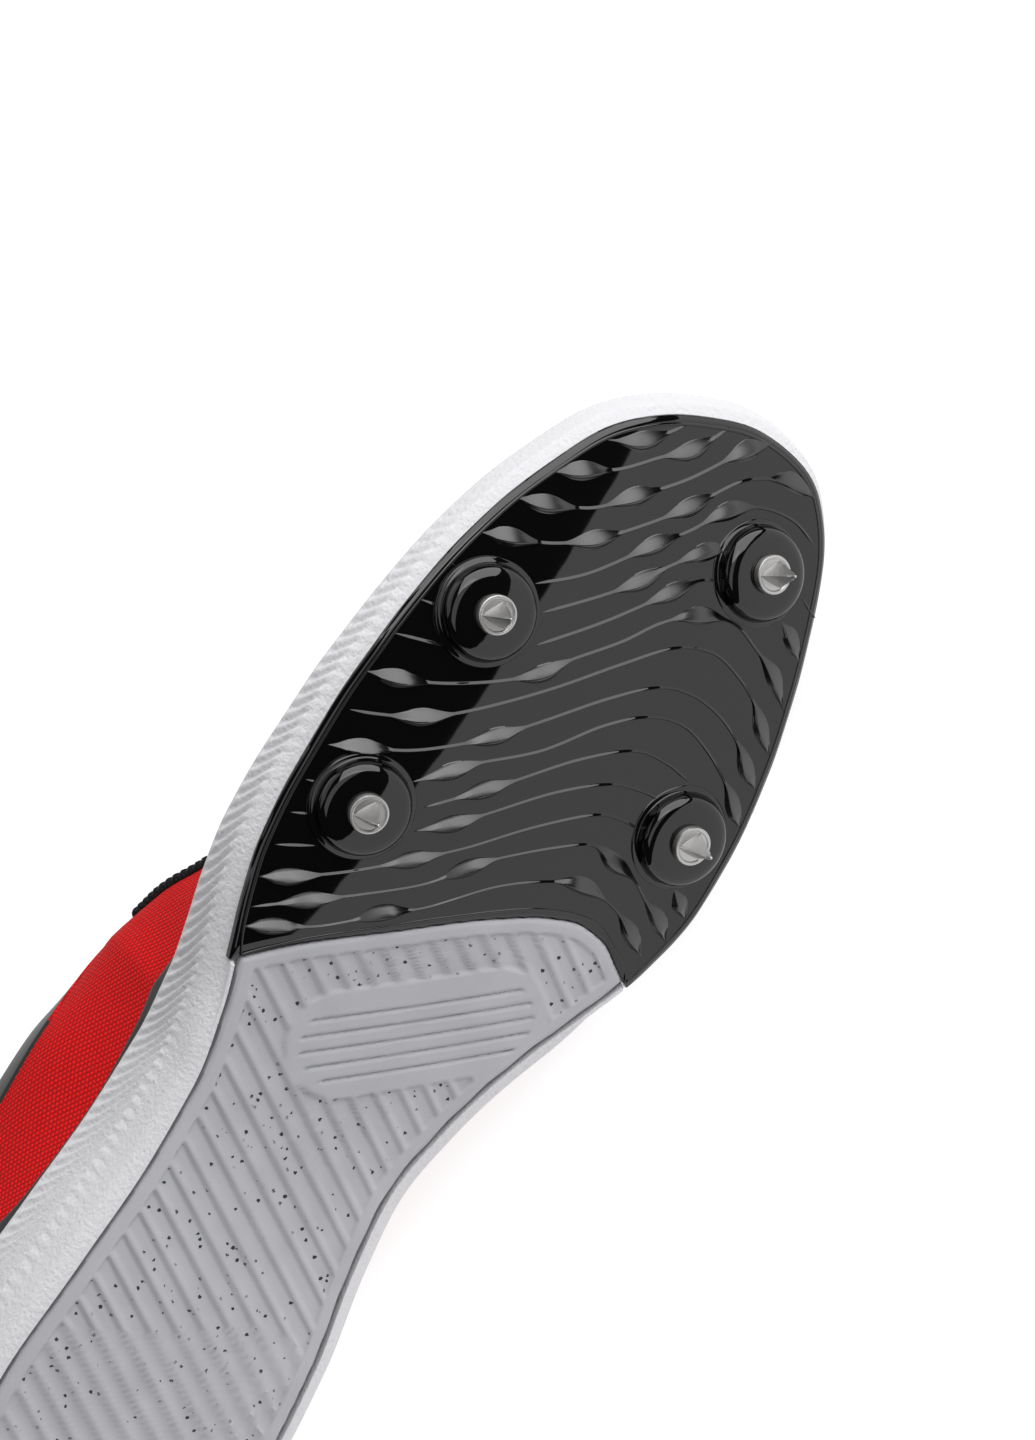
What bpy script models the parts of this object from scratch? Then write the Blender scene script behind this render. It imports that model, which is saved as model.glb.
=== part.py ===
"""Track spike shoe for the right foot, lying on its medial side.

The shoe is worked out upright: +X towards the toe, +Y towards the medial side, +Z up, ground at zero.
An empty then carries every piece and lays the shoe down on its sole edge and collar.
"""
import bpy
import bmesh
import numpy as np
from math import pi
from mathutils import Matrix, Vector

MM = 0.001

# Last and sole
LENGTH = 284.5 * MM          # heel back to toe tip, outside
BALL_WIDTH = 91.5 * MM       # bottom of the sole across the ball
HEEL_WIDTH = 63.5 * MM       # bottom of the sole across the heel
HEEL_HEIGHT = 97 * MM        # ground to the back of the collar
INSTEP_HEIGHT = 92 * MM      # ground to the top pair of eyelets
HEEL_STACK = 27 * MM         # side wall of the midsole at the heel
BALL_STACK = 14.5 * MM       # side wall of the midsole at the ball
HEEL_FLARE = 4.5 * MM        # how far the side wall leans out at the heel
TOE_FLARE = 2.1 * MM         # and at the toe
TOE_SPRING = 22 * MM         # rise of the sole from the ball to the toe
ARCH_RISE = 3 * MM
HEEL_BEVEL = 5 * MM          # rise of the sole at the back of the heel
EDGE_LIFT = 3.5 * MM         # crosswise rounding of the bottom
WALL_STEP = 0.5 * MM         # ledge between the lower and the upper band of the side wall
RIM = 2.2 * MM               # top edge of the midsole outside the upper
DISH = 4 * MM                # depth of the dish that the upper stands in

# Layers under the foot
LAYER = 2.6 * MM             # spike plate and rear outsole
SOLE_RIM = 1.2 * MM          # foam edge around the rear outsole
EDGE_ROUND = 0.8 * MM
GAP = 0.3 * MM               # between neighbouring pieces
INSOLE = 4 * MM
INSOLE_TAPER = 3.2 * MM      # its top is this much smaller all round

# Upper
WALL = 1.8 * MM
OVERLAY = 0.5 * MM           # toe cap, counter, foxing band and eyestay stand this much proud
COLLAR_PAD = 2.4 * MM        # extra thickness of the padded collar
TUCK_IN = 0.6                  # slope of the forefoot's wall towards the throat
EYELET = 2.1 * MM            # radius of a lace hole
TONGUE = 3.5 * MM
TONGUE_CROWN = 2.0 * MM
TONGUE_REACH = 26 * MM       # how far the tongue stands above the top eyelets
LACE_WIDTH = 6 * MM
LACE_THICK = 1.2 * MM

# Spikes
BOSS_RADIUS = 10 * MM
BOSS_CROWN = 7.4 * MM
BOSS_HEIGHT = 4 * MM
FLANGE_RADIUS = 4 * MM
FLANGE_THICK = 1.5 * MM
SPIKE_RADIUS = 3.1 * MM
SPIKE_TIP = 0.4 * MM
SPIKE_HEIGHT = 7.2 * MM

SETTLE = 1.6 * MM            # how far the foam and cloth flatten where they touch the floor

STATIONS = 31                # divisions of each side from heel to toe
BALL_AT = 0.655              # share of the length where the bottom is lowest
ARCH_SPAN = (0.20, 0.63)
BEVEL_END = 0.12


def table(names, rows):
    """Named columns from rows of numbers."""
    return dict(zip(names, np.array(rows, float).T))


# Bottom edge of the sole. along is a share of its length, lateral and medial are shares of size.
OUTLINE = table(("along", "size", "lateral", "medial"), (
    (0.000, HEEL_WIDTH, 0.03, -0.03),
    (0.040, HEEL_WIDTH, 0.41, 0.34),
    (0.100, HEEL_WIDTH, 0.51, 0.44),
    (0.170, HEEL_WIDTH, 0.54, 0.46),
    (0.260, HEEL_WIDTH, 0.52, 0.42),
    (0.340, HEEL_WIDTH, 0.50, 0.35),
    (0.400, HEEL_WIDTH, 0.51, 0.32),
    (0.460, BALL_WIDTH, 0.395, 0.248),
    (0.500, BALL_WIDTH, 0.440, 0.278),
    (0.540, BALL_WIDTH, 0.487, 0.320),
    (0.580, BALL_WIDTH, 0.522, 0.372),
    (0.630, BALL_WIDTH, 0.541, 0.430),
    (0.690, BALL_WIDTH, 0.546, 0.463),
    (0.740, BALL_WIDTH, 0.535, 0.459),
    (0.800, BALL_WIDTH, 0.505, 0.437),
    (0.860, BALL_WIDTH, 0.446, 0.400),
    (0.910, BALL_WIDTH, 0.365, 0.360),
    (0.945, BALL_WIDTH, 0.290, 0.325),
    (0.975, BALL_WIDTH, 0.170, 0.268),
    (0.992, BALL_WIDTH, 0.048, 0.205),
    (1.000, BALL_WIDTH, -0.075, 0.075)))

# Side wall of the midsole: height and outward lean along the sole.
SIDE = table(("along", "height", "flare"), (
    (0.00, HEEL_STACK, HEEL_FLARE),
    (0.20, HEEL_STACK * 0.98, HEEL_FLARE),
    (0.40, HEEL_STACK * 0.83, HEEL_FLARE * 1.1),
    (0.50, HEEL_STACK * 0.68, HEEL_FLARE * 0.93),
    (0.60, BALL_STACK * 1.12, TOE_FLARE * 1.6),
    (0.70, BALL_STACK, TOE_FLARE * 1.4),
    (0.90, BALL_STACK * 0.86, TOE_FLARE * 0.95),
    (1.00, BALL_STACK * 0.67, TOE_FLARE * 0.9)))

# Rows up the side wall: share of its height, share of its flare, and whether the ledge is added.
WALL_ROWS = ((0.00, 0.00, 0), (0.07, 0.40, 0), (0.46, 0.70, 0), (0.50, 0.72, 1), (0.92, 1.00, 1), (1.00, 0.90, 0))

# Rear edge of the spike plate: across runs from lateral to medial, along is a share of the bottom's length.
PLATE_REAR = table(("across", "along"), (
    (0.00, 0.494), (0.17, 0.524), (0.40, 0.568), (0.60, 0.614), (0.70, 0.632),
    (0.78, 0.639), (0.85, 0.636), (0.93, 0.624), (1.00, 0.613)))

# Bosses with their spikes: along is a share of the bottom's length, aside a share of the ball width.
BOSSES = table(("along", "aside"), (
    (0.796, -0.363), (0.636, -0.381), (0.915, 0.177), (0.727, 0.310)))

# Opening edge of the upper for each place along the sole. forward is a share of the length, centre and
# aside are shares of the ball width, up is a share of size. low and high are the fullness of the section
# near the sole and near the opening, lean is the slope at the opening in degrees, foxing and eyestay are
# the shares of the section where the lower band ends and the upper one starts, pad is the collar's.
OPENING = table(
    ("along", "forward", "centre", "aside", "size", "up", "low", "high", "lean", "foxing", "eyestay", "pad"), (
        (0.00, 0.040, -0.02, 0.000, HEEL_HEIGHT, 1.00, 0.42, 0.42, 74, 0.46, 0.90, 1.0),
        (0.04, 0.050, -0.02, 0.160, HEEL_HEIGHT, 0.985, 0.42, 0.42, 75, 0.45, 0.90, 1.0),
        (0.10, 0.092, -0.02, 0.280, HEEL_HEIGHT, 0.905, 0.42, 0.38, 78, 0.40, 0.89, 1.0),
        (0.17, 0.155, -0.027, 0.335, HEEL_HEIGHT, 0.79, 0.42, 0.35, 84, 0.30, 0.87, 1.0),
        (0.26, 0.250, -0.035, 0.345, HEEL_HEIGHT, 0.73, 0.42, 0.35, 80, 0.14, 0.84, 1.0),
        (0.34, 0.330, -0.045, 0.325, HEEL_HEIGHT, 0.76, 0.45, 0.38, 68, 0.11, 0.83, 1.0),
        (0.40, 0.376, -0.035, 0.250, HEEL_HEIGHT, 0.86, 0.50, 0.42, 52, 0.11, 0.82, 0.6),
        (0.44, 0.402, -0.02, 0.180, INSTEP_HEIGHT, 0.975, 0.55, 0.45, 42, 0.11, 0.81, 0.2),
        (0.48, 0.440, -0.005, 0.155, INSTEP_HEIGHT, 0.915, 0.60, 0.50, 38, 0.11, 0.80, 0.0),
        (0.53, 0.485, 0.005, 0.142, INSTEP_HEIGHT, 0.815, 0.50, 0.38, 34, 0.11, 0.80, 0.0),
        (0.58, 0.530, 0.015, 0.134, INSTEP_HEIGHT, 0.740, 0.44, 0.30, 31, 0.11, 0.80, 0.0),
        (0.63, 0.578, 0.02, 0.126, INSTEP_HEIGHT, 0.680, 0.42, 0.30, 28, 0.11, 0.80, 0.0),
        (0.69, 0.625, 0.03, 0.116, INSTEP_HEIGHT, 0.640, 0.43, 0.34, 25, 0.11, 0.81, 0.0),
        (0.74, 0.655, 0.03, 0.104, INSTEP_HEIGHT, 0.618, 0.46, 0.40, 22, 0.13, 0.82, 0.0),
        (0.80, 0.677, 0.03, 0.082, INSTEP_HEIGHT, 0.602, 0.44, 0.44, 19, 0.17, 0.84, 0.0),
        (0.86, 0.689, 0.03, 0.056, INSTEP_HEIGHT, 0.594, 0.41, 0.47, 16, 0.24, 0.86, 0.0),
        (0.91, 0.694, 0.03, 0.034, INSTEP_HEIGHT, 0.590, 0.37, 0.52, 15, 0.30, 0.87, 0.0),
        (0.945, 0.696, 0.03, 0.020, INSTEP_HEIGHT, 0.588, 0.34, 0.53, 14, 0.34, 0.88, 0.0),
        (0.975, 0.697, 0.03, 0.010, INSTEP_HEIGHT, 0.588, 0.32, 0.54, 13, 0.36, 0.88, 0.0),
        (1.00, 0.6975, 0.03, 0.000, INSTEP_HEIGHT, 0.588, 0.31, 0.54, 13, 0.37, 0.88, 0.0)))

EYELETS_AT = (0.46, 0.505, 0.55, 0.60, 0.655, 0.71)     # places along the sole, top pair first
EYELET_ROW = 0.91                                        # share of the section from sole to throat
TONGUE_TOP = 0.455
TONGUE_TUCK = 0.14                                       # share of the section that covers the tongue's edge


def smooth(xs, ys, at):
    """Monotone cubic curve through a table's points."""
    step = np.diff(xs)
    rise = np.diff(ys) / step
    slope = np.concatenate([rise[:1], np.zeros(len(xs) - 2), rise[-1:]])
    turns_back = rise[1:] * rise[:-1] <= 0
    before, after = np.where(turns_back, 1, rise[:-1]), np.where(turns_back, 1, rise[1:])
    weight_a, weight_b = 2 * step[1:] + step[:-1], step[1:] + 2 * step[:-1]
    mean = (weight_a + weight_b) / (weight_a / before + weight_b / after)
    slope[1:-1] = np.where(turns_back, 0, mean)
    k = np.clip(np.searchsorted(xs, at, side="right") - 1, 0, len(step) - 1)
    t = (at - xs[k]) / step[k]
    return ((1 + 2 * t) * (1 - t) ** 2 * ys[k] + t * (1 - t) ** 2 * step[k] * slope[k]
            + t ** 2 * (3 - 2 * t) * ys[k + 1] - t ** 2 * (1 - t) * step[k] * slope[k + 1])


def share_of(turn):
    """Share of the sole's length for a signed angle: 0 at the heel, pi at the toe, lateral is negative."""
    return (1 - np.cos(turn)) / 2


def angle_of(share):
    return np.arccos(1 - 2 * np.clip(share, 0, 1))


def forward_of(share):
    """Distance from the back of the heel for a share of the bottom's length."""
    return HEEL_FLARE + share * (LENGTH - HEEL_FLARE - TOE_FLARE)


def contour(turn):
    """Bottom edge of the sole in plan."""
    rows, size = angle_of(OUTLINE["along"]), OUTLINE["size"]
    lateral = smooth(rows, -size * OUTLINE["lateral"], np.abs(turn))
    medial = smooth(rows, size * OUTLINE["medial"], np.abs(turn))
    return np.stack([forward_of(share_of(turn)), np.where(turn < 0, lateral, medial)], -1)


def offset_contour(turn, out):
    """The contour moved outwards in plan by out."""
    nudge = 0.02
    run = contour(np.where(turn + nudge > pi, turn + nudge - 2 * pi, turn + nudge))
    run = run - contour(np.where(turn - nudge < -pi, turn - nudge + 2 * pi, turn - nudge))
    normal = np.stack([-run[..., 1], run[..., 0]], -1)
    normal = normal / np.linalg.norm(normal, axis=-1, keepdims=True)
    return contour(turn) + normal * np.broadcast_to(out, np.shape(turn))[..., None]


def width_edges(share):
    angle = angle_of(share)
    return contour(-angle)[..., 1], contour(angle)[..., 1]


def centre_height(forward):
    """Bottom of the sole along its middle: toe spring, arch and heel bevel."""
    share = share_at(forward)
    spring = TOE_SPRING * (np.clip(share - BALL_AT, 0, 1) / (1 - BALL_AT)) ** 2
    arch = np.clip((share - ARCH_SPAN[0]) / (ARCH_SPAN[1] - ARCH_SPAN[0]), 0, 1)
    bevel = np.clip(1 - share / BEVEL_END, 0, 1.2)
    return spring + ARCH_RISE * np.sin(pi * arch) ** 2 + HEEL_BEVEL * bevel ** 2


def bottom_height(forward, aside):
    """Bottom of the sole at a place in plan, with its crosswise rounding."""
    middle = OUTLINE["size"] * (OUTLINE["medial"] - OUTLINE["lateral"]) / 2
    away = (aside - smooth(OUTLINE["along"], middle, np.clip(share_at(forward), 0, 1))) / (BALL_WIDTH / 2)
    return centre_height(forward) + EDGE_LIFT * away ** 2


def side_wall(turn):
    """Height and flare of the side wall."""
    share = share_of(turn)
    return smooth(SIDE["along"], SIDE["height"], share), smooth(SIDE["along"], SIDE["flare"], share)


def with_height(plan, height):
    return np.concatenate([plan, np.broadcast_to(height, plan.shape[:-1])[..., None]], -1)


def share_at(forward):
    return (forward - HEEL_FLARE) / (LENGTH - HEEL_FLARE - TOE_FLARE)


def dish_height(forward):
    """Floor of the midsole's dish, which follows the top edge of the side wall."""
    return centre_height(forward) + smooth(SIDE["along"], SIDE["height"], np.clip(share_at(forward), 0, 1)) - DISH


def turns():
    """Signed angles of one loop around the sole, with close pairs where the spike plate ends."""
    ends = [PLATE_REAR["along"][0], PLATE_REAR["along"][-1]]
    close = 1.2 * MM / LENGTH
    extra = angle_of(np.array([end - k * close for end in ends for k in (0.25, 1)]))
    half = np.concatenate([np.linspace(0, pi, STATIONS), extra])
    half = np.sort(half)
    clear = np.array([np.min(np.abs(extra - value)) > 0.02 or value in extra for value in half])
    half = half[clear]
    return np.concatenate([-half, half[-2:0:-1]])


def towards_spine(loop, turn, share):
    """A loop drawn in towards the sole's middle line."""
    reach = 0.09 * LENGTH
    forward = np.clip(forward_of(share_of(turn)), reach, LENGTH - reach)
    lateral, medial = width_edges(share_at(forward))
    spine = np.stack([forward, (lateral + medial) / 2], -1)
    return spine + (loop - spine) * share


def section(turn, v):
    """A point of the upper's surface, from its foot in the dish (v=0) to the opening (v=1)."""
    share = share_of(turn)
    side = np.where(turn < 0, -1.0, 1.0)
    value = {name: smooth(OPENING["along"], column, share) for name, column in OPENING.items()}
    flare = side_wall(turn)[1]
    foot = offset_contour(turn, flare - RIM - GAP - OVERLAY)
    foot = with_height(foot, dish_height(foot[..., 0]) + GAP)
    edge = np.stack([value["forward"] * LENGTH, BALL_WIDTH * (value["centre"] + side * value["aside"]),
                     value["size"] * value["up"]], -1)
    out = foot[..., :2] - edge[..., :2]
    reach = np.linalg.norm(foot - edge, axis=-1)
    out = out / np.maximum(np.linalg.norm(out, axis=-1, keepdims=True), 1e-6)
    wall = offset_contour(turn, flare) - contour(turn)
    wall = wall / np.maximum(np.linalg.norm(wall, axis=-1, keepdims=True), 1e-9)
    steep = np.clip((value["lean"] - 40) / 40, 0, 1)[..., None]
    away = wall * steep + out * (1 - steep)
    away = away / np.maximum(np.linalg.norm(away, axis=-1, keepdims=True), 1e-6)
    lean = np.radians(value["lean"])
    inward = TUCK_IN * (1 - np.clip((value["lean"] - 31) / 12, 0, 1))
    low = foot + with_height(-wall * inward[..., None], 1.0) * (reach * value["low"])[..., None]
    high = edge + with_height(away * np.cos(lean)[..., None], -np.sin(lean)) * (reach * value["high"])[..., None]
    v = np.asarray(v)[..., None]
    return ((1 - v) ** 3 * foot + 3 * v * (1 - v) ** 2 * low + 3 * v ** 2 * (1 - v) * high + v ** 3 * edge)


def surface(turn, v):
    """Points of the upper's surface and their outward normals."""
    turn, v = np.broadcast_arrays(np.asarray(turn, float), np.asarray(v, float))
    point = section(turn, v)
    step = 0.012
    ahead = np.where(turn + step > pi, turn + step - 2 * pi, turn + step)
    behind = np.where(turn - step < -pi, turn - step + 2 * pi, turn - step)
    along = section(ahead, v) - section(behind, v)
    up = section(turn, np.clip(v + step, 0, 1)) - section(turn, np.clip(v - step, 0, 1))
    normal = np.cross(up, along)
    return point, normal / np.maximum(np.linalg.norm(normal, axis=-1, keepdims=True), 1e-12)


def loft(name, rings, ends="merge", closed=True):
    """Mesh from rings of points, each joined to the next."""
    rings = np.asarray(rings)
    count, size = rings.shape[:2]
    mesh = bpy.data.meshes.new(name)
    faces = []
    last = size if closed else size - 1
    for r in range(count - 1):
        for k in range(last):
            n = (k + 1) % size
            faces.append((r * size + k, r * size + n, (r + 1) * size + n, (r + 1) * size + k))
    if ends == "torus":
        top = (count - 1) * size
        faces += [(top + k, top + (k + 1) % size, (k + 1) % size, k) for k in range(size)]
    mesh.from_pydata([tuple(p) for p in rings.reshape(-1, 3)], [], faces)
    return tidy(mesh)


def tidy(mesh):
    """Merge what coincides and point every face outwards."""
    work = bmesh.new()
    work.from_mesh(mesh)
    bmesh.ops.remove_doubles(work, verts=work.verts, dist=0.004 * MM)
    bmesh.ops.dissolve_degenerate(work, edges=work.edges, dist=0.002 * MM)
    bmesh.ops.recalc_face_normals(work, faces=work.faces)
    work.to_mesh(mesh)
    work.free()
    mesh.validate()
    return mesh


def thickness(turn, v):
    """Wall of the upper, thicker where the collar is padded."""
    pad = smooth(OPENING["along"], OPENING["pad"], share_of(turn))
    rise = np.clip((v - 0.55) / 0.25, 0, 1)
    return WALL + COLLAR_PAD * pad * rise ** 2 * (3 - 2 * rise) * (1 - 0.5 * np.clip((v - 0.9) / 0.1, 0, 1))


def layer_grid(front, inset, rows, columns):
    """Plan of a layer between the spike plate's rear edge and the toe (front) or the heel."""
    across = (1 - np.cos(np.linspace(0, pi, columns))) / 2
    edge = smooth(PLATE_REAR["across"], PLATE_REAR["along"], across)
    if front:
        begin, end = angle_of(edge), pi + 0 * edge
        run = np.concatenate([[0, 0.008], np.linspace(0.05, 1, rows - 2)])
    else:
        plate = layer_grid(True, 0, 3, columns)[0]
        for _ in range(8):
            lateral, medial = offset_contour(-angle_of(edge), -inset), offset_contour(angle_of(edge), -inset)
            now = lateral + (medial - lateral) * across[:, None]
            wanted = np.interp(now[:, 1], plate[:, 1], plate[:, 0]) - 1.5 * GAP
            edge = edge + (wanted - now[:, 0]) / LENGTH
        begin, end = 0 * edge, angle_of(edge)
        run = np.concatenate([np.linspace(0, 0.96, rows - 2), [0.99, 1]])
    angle = begin + (end - begin) * run[:, None]
    lateral, medial = offset_contour(-angle, -inset), offset_contour(np.minimum(angle, pi), -inset)
    return lateral + (medial - lateral) * across[:, None]


def slab(name, low, high, folded=False):
    """Closed solid between two grids of the same size. A folded one meets itself at its last row."""
    rows, columns = low.shape[:2]
    points = np.concatenate([low.reshape(-1, 3), high.reshape(-1, 3)])
    top = rows * columns
    faces = []
    for r in range(rows - 1):
        for c in range(columns - 1):
            k = r * columns + c
            faces.append((k, k + 1, k + columns + 1, k + columns))
            faces.append((top + k, top + k + columns, top + k + columns + 1, top + k + 1))
    border = [(0, c) for c in range(columns)] + [(r, columns - 1) for r in range(1, rows)]
    border += [(rows - 1, c) for c in range(columns - 2, -1, -1)] + [(r, 0) for r in range(rows - 2, 0, -1)]
    border = [r * columns + c for r, c in border]
    for k, n in zip(border, border[1:] + border[:1]):
        if not (folded and min(k, n) >= (rows - 1) * columns):
            faces.append((k, top + k, top + n, n))
    mesh = bpy.data.meshes.new(name)
    mesh.from_pydata([tuple(p) for p in points], [], faces)
    return tidy(mesh)


def on_border(grid):
    mask = np.zeros(grid.shape[:2])
    mask[0], mask[-1], mask[:, 0], mask[:, -1] = 1, 1, 1, 1
    return mask


def layer(name, front, inset, rows, columns):
    """A layer of the bottom with its lower edge rounded off."""
    plan = layer_grid(front, inset, rows, columns)
    ground = bottom_height(plan[..., 0], plan[..., 1])
    return slab(name, with_height(plan, ground + EDGE_ROUND * on_border(plan)), with_height(plan, ground + LAYER))


def midsole_mesh():
    turn = turns()
    flare = side_wall(turn)[1]
    edge = contour(turn)
    plate_end = forward_of(np.where(turn < 0, PLATE_REAR["along"][0], PLATE_REAR["along"][-1]))
    behind = edge[:, 0] < plate_end - 0.9 * MM
    seat = LAYER + GAP
    lift = np.where(behind, 0, seat)
    rings = []
    inner = offset_contour(turn, -SOLE_RIM)
    for share in (0, 0.4, 0.75, 1):
        plan = towards_spine(inner, turn, share)
        rings.append(with_height(plan, bottom_height(plan[:, 0], plan[:, 1]) + seat))
    rings.append(with_height(inner, bottom_height(inner[:, 0], inner[:, 1]) + lift))
    start = bottom_height(edge[:, 0], edge[:, 1]) + lift
    top = dish_height(edge[:, 0]) + DISH
    for up, out, ledge in WALL_ROWS:
        plan = offset_contour(turn, out * flare + ledge * WALL_STEP)
        rings.append(with_height(plan, start + up * (top - start)))
    inside = offset_contour(turn, flare - RIM)
    rings.append(with_height(inside, top))
    for share in (1, 0.6, 0):
        plan = towards_spine(inside, turn, share)
        rings.append(with_height(plan, dish_height(plan[:, 0])))
    return loft("midsole", rings)


def insole_mesh():
    turn = turns()
    flare = side_wall(turn)[1]
    base = flare - RIM - OVERLAY - WALL - 3 * GAP
    rings = []
    for taper, share, up in ((0, 0, 0), (0, 1, 0), (1, 1, INSOLE), (1, 0.8, INSOLE * 0.75), (1, 0, INSOLE * 0.7)):
        plan = towards_spine(offset_contour(turn, base - taper * INSOLE_TAPER), turn, share)
        rings.append(with_height(plan, dish_height(plan[:, 0]) + GAP + up))
    return loft("insole", rings)


def upper_rows(turn):
    """Rows up the section with the overlay's thickness at each."""
    foxing = smooth(OPENING["along"], OPENING["foxing"], share_of(turn))
    eyestay = smooth(OPENING["along"], OPENING["eyestay"], share_of(turn))
    edge = 0.005
    rows = [(0 * turn, 1), (foxing * 0.5, 1), (foxing - edge, 1), (foxing + edge, 0)]
    rows += [(foxing + (eyestay - foxing) * share, 0) for share in (0.2, 0.4, 0.6, 0.8)]
    rows += [(eyestay - edge, 0), (eyestay + edge, 1), ((1 + eyestay) / 2, 1), (1 + 0 * turn, 1)]
    return rows


def upper_grids(turn):
    outer, inner = [], []
    for v, overlay in upper_rows(turn):
        point, normal = surface(turn, v)
        outer.append(point + normal * OVERLAY * overlay)
        inner.append(point - normal * thickness(turn, v)[:, None])
    floor = dish_height(inner[0][:, 0]) + GAP
    inner[0][:, 2] = np.maximum(inner[0][:, 2], floor)
    return np.array(outer), np.array(inner)


def upper_mesh():
    outer, inner = upper_grids(turns())
    return loft("upper", np.concatenate([outer, inner[::-1]]), ends="torus")


def tongue_mesh():
    """Sections from the top eyelets to the front of the throat, and a free end above."""
    angles = np.linspace(float(angle_of(TONGUE_TOP)), pi, 15)
    tucked = np.clip((angles - angles[0]) / 0.25, 0.1, 1)
    crown = np.array([0.2, 0.4, 0.6, 0.8])
    tops, lows = [], []
    for angle, tuck in zip(angles, tucked):
        under = 1 - TONGUE_TUCK * tuck * np.array([1, 0.5, 0])
        sides = []
        for turn in (-angle, angle):
            point, normal = surface(np.full(3, turn), under)
            depth = thickness(np.full(3, turn), under) + 4 * GAP
            sides.append((point - normal * depth[:, None], normal))
        (left, left_n), (right, right_n) = sides
        right, right_n = right[::-1], right_n[::-1]
        middle = left[-1] + (right[0] - left[-1]) * crown[:, None]
        open_width = np.linalg.norm(right[0] - left[-1])
        rise = min(TONGUE_CROWN, 0.12 * open_width)
        normal = left_n[-1] + right_n[0]
        normal = normal / np.linalg.norm(normal)
        middle = middle + normal * (4 * rise * crown * (1 - crown))[:, None]
        blend = left_n[-1] + (right_n[0] - left_n[-1]) * crown[:, None]
        normals = np.concatenate([left_n, blend, right_n])
        normals = normals / np.linalg.norm(normals, axis=1, keepdims=True)
        top = np.concatenate([left, middle, right])
        tops.append(top)
        lows.append(top - normals * TONGUE)
    along = tops[0].mean(0) - tops[1].mean(0)
    along = along / np.linalg.norm(along)
    upwards = Vector((-0.1, 0, 0.995))
    for share, narrow in ((0.35, 0.92), (0.75, 0.95), (1.0, 0.7)):
        way = Vector(along).lerp(upwards, 0.3 + 0.5 * share).normalized()
        shift = np.array(way) * TONGUE_REACH * share
        for grid, base in ((tops, tops[-15]), (lows, lows[-15])):
            middle = base.mean(0)
            grid.insert(0, middle + (base - middle) * np.array([1, narrow, 1]) + shift)
    return slab("tongue", np.array(lows), np.array(tops), folded=True)


def catmull(points, count):
    """Points along a smooth curve through a few."""
    points = np.array(points)
    ends = np.concatenate([[2 * points[0] - points[1]], points, [2 * points[-1] - points[-2]]])
    at = np.linspace(0, len(points) - 1, count)
    k = np.minimum(at.astype(int), len(points) - 2)
    t = (at - k)[:, None]
    a, b, c, d = (ends[k + n] for n in range(4))
    return 0.5 * (2 * b + (c - a) * t + (2 * a - 5 * b + 4 * c - d) * t ** 2 + (3 * b - a - 3 * c + d) * t ** 3)


def ribbon_mesh(name, path, ups):
    """Flat lace with rounded edges along a path."""
    along = np.gradient(path, axis=0)
    along = along / np.linalg.norm(along, axis=1, keepdims=True)
    aside = np.cross(along, ups)
    aside = aside / np.linalg.norm(aside, axis=1, keepdims=True)
    up = np.cross(aside, along)
    half, flat = LACE_WIDTH / 2, LACE_THICK / 2
    shape = ((-half, 0), (-half * 0.8, -flat), (half * 0.8, -flat), (half, 0), (half * 0.8, flat), (-half * 0.8, flat))
    rings = [[centre + a * x + u * z for x, z in shape] for centre, a, u in zip(path, aside, up)]
    mesh = loft(name, [[path[0]] * len(shape)] + rings + [[path[-1]] * len(shape)])
    return mesh


def lace_paths():
    """Bar at the front pair, then a crossing between each pair of eyelets and the next."""
    places = angle_of(np.array(EYELETS_AT))
    lift = OVERLAY + 3 * GAP + LACE_THICK / 2
    spans = [(places[-1], places[-1], 1, 0.15)]
    for low, high in zip(places[:0:-1], places[-2::-1]):
        spans += [(low, high, 1, 0), (low, high, -1, 0.4)]
    for low, high, side, over in spans:
        points, ups = [], []
        for share, v in ((0, EYELET_ROW), (0.2, 1.0), (0.8, 1.0), (1, EYELET_ROW)):
            sign = -side if share < 0.5 else side
            point, normal = surface(sign * (low + (high - low) * share), v)
            points.append(point + normal * (lift + over * LACE_THICK))
            ups.append(normal)
        middle = (points[1] + points[2]) / 2
        up = (ups[1] + ups[2]) / np.linalg.norm(ups[1] + ups[2])
        points.insert(2, middle + up * TONGUE_CROWN)
        ups.insert(2, up)
        yield catmull(points, 7), catmull(ups, 7)


def rest_frame(sole, cloth):
    """Axes of the shoe lying on its sole edge, at heel and ball, and on the side of its collar."""
    down = np.array([0.0, 1.0, 0.0])
    heel, ball = sole[sole[:, 0] < 0.45 * LENGTH], sole[sole[:, 0] > 0.55 * LENGTH]
    for _ in range(20):
        rests = [group[np.argmax(group @ down)] for group in (heel, ball, cloth)]
        normal = np.cross(rests[1] - rests[0], rests[2] - rests[0])
        normal = normal * np.sign(normal[1]) / np.linalg.norm(normal)
        down = normal
    level = max(float((group @ down).max()) for group in (heel, ball, cloth))
    along = np.array([1.0, 0, 0]) - down * down[0]
    along = along / np.linalg.norm(along)
    axes = np.stack([along, np.cross(-down, along), -down])
    matrix = Matrix([list(row) + [0] for row in axes] + [[0, 0, 0, 1]])
    return Matrix.Translation((0, 0, level - SETTLE)) @ matrix


def material(name, colour, roughness, metallic=0.0):
    made = bpy.data.materials.new(name)
    made.use_nodes = True
    shader = made.node_tree.nodes["Principled BSDF"]
    shader.inputs["Base Color"].default_value = (*colour, 1)
    shader.inputs["Roughness"].default_value = roughness
    shader.inputs["Metallic"].default_value = metallic
    return made


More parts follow.
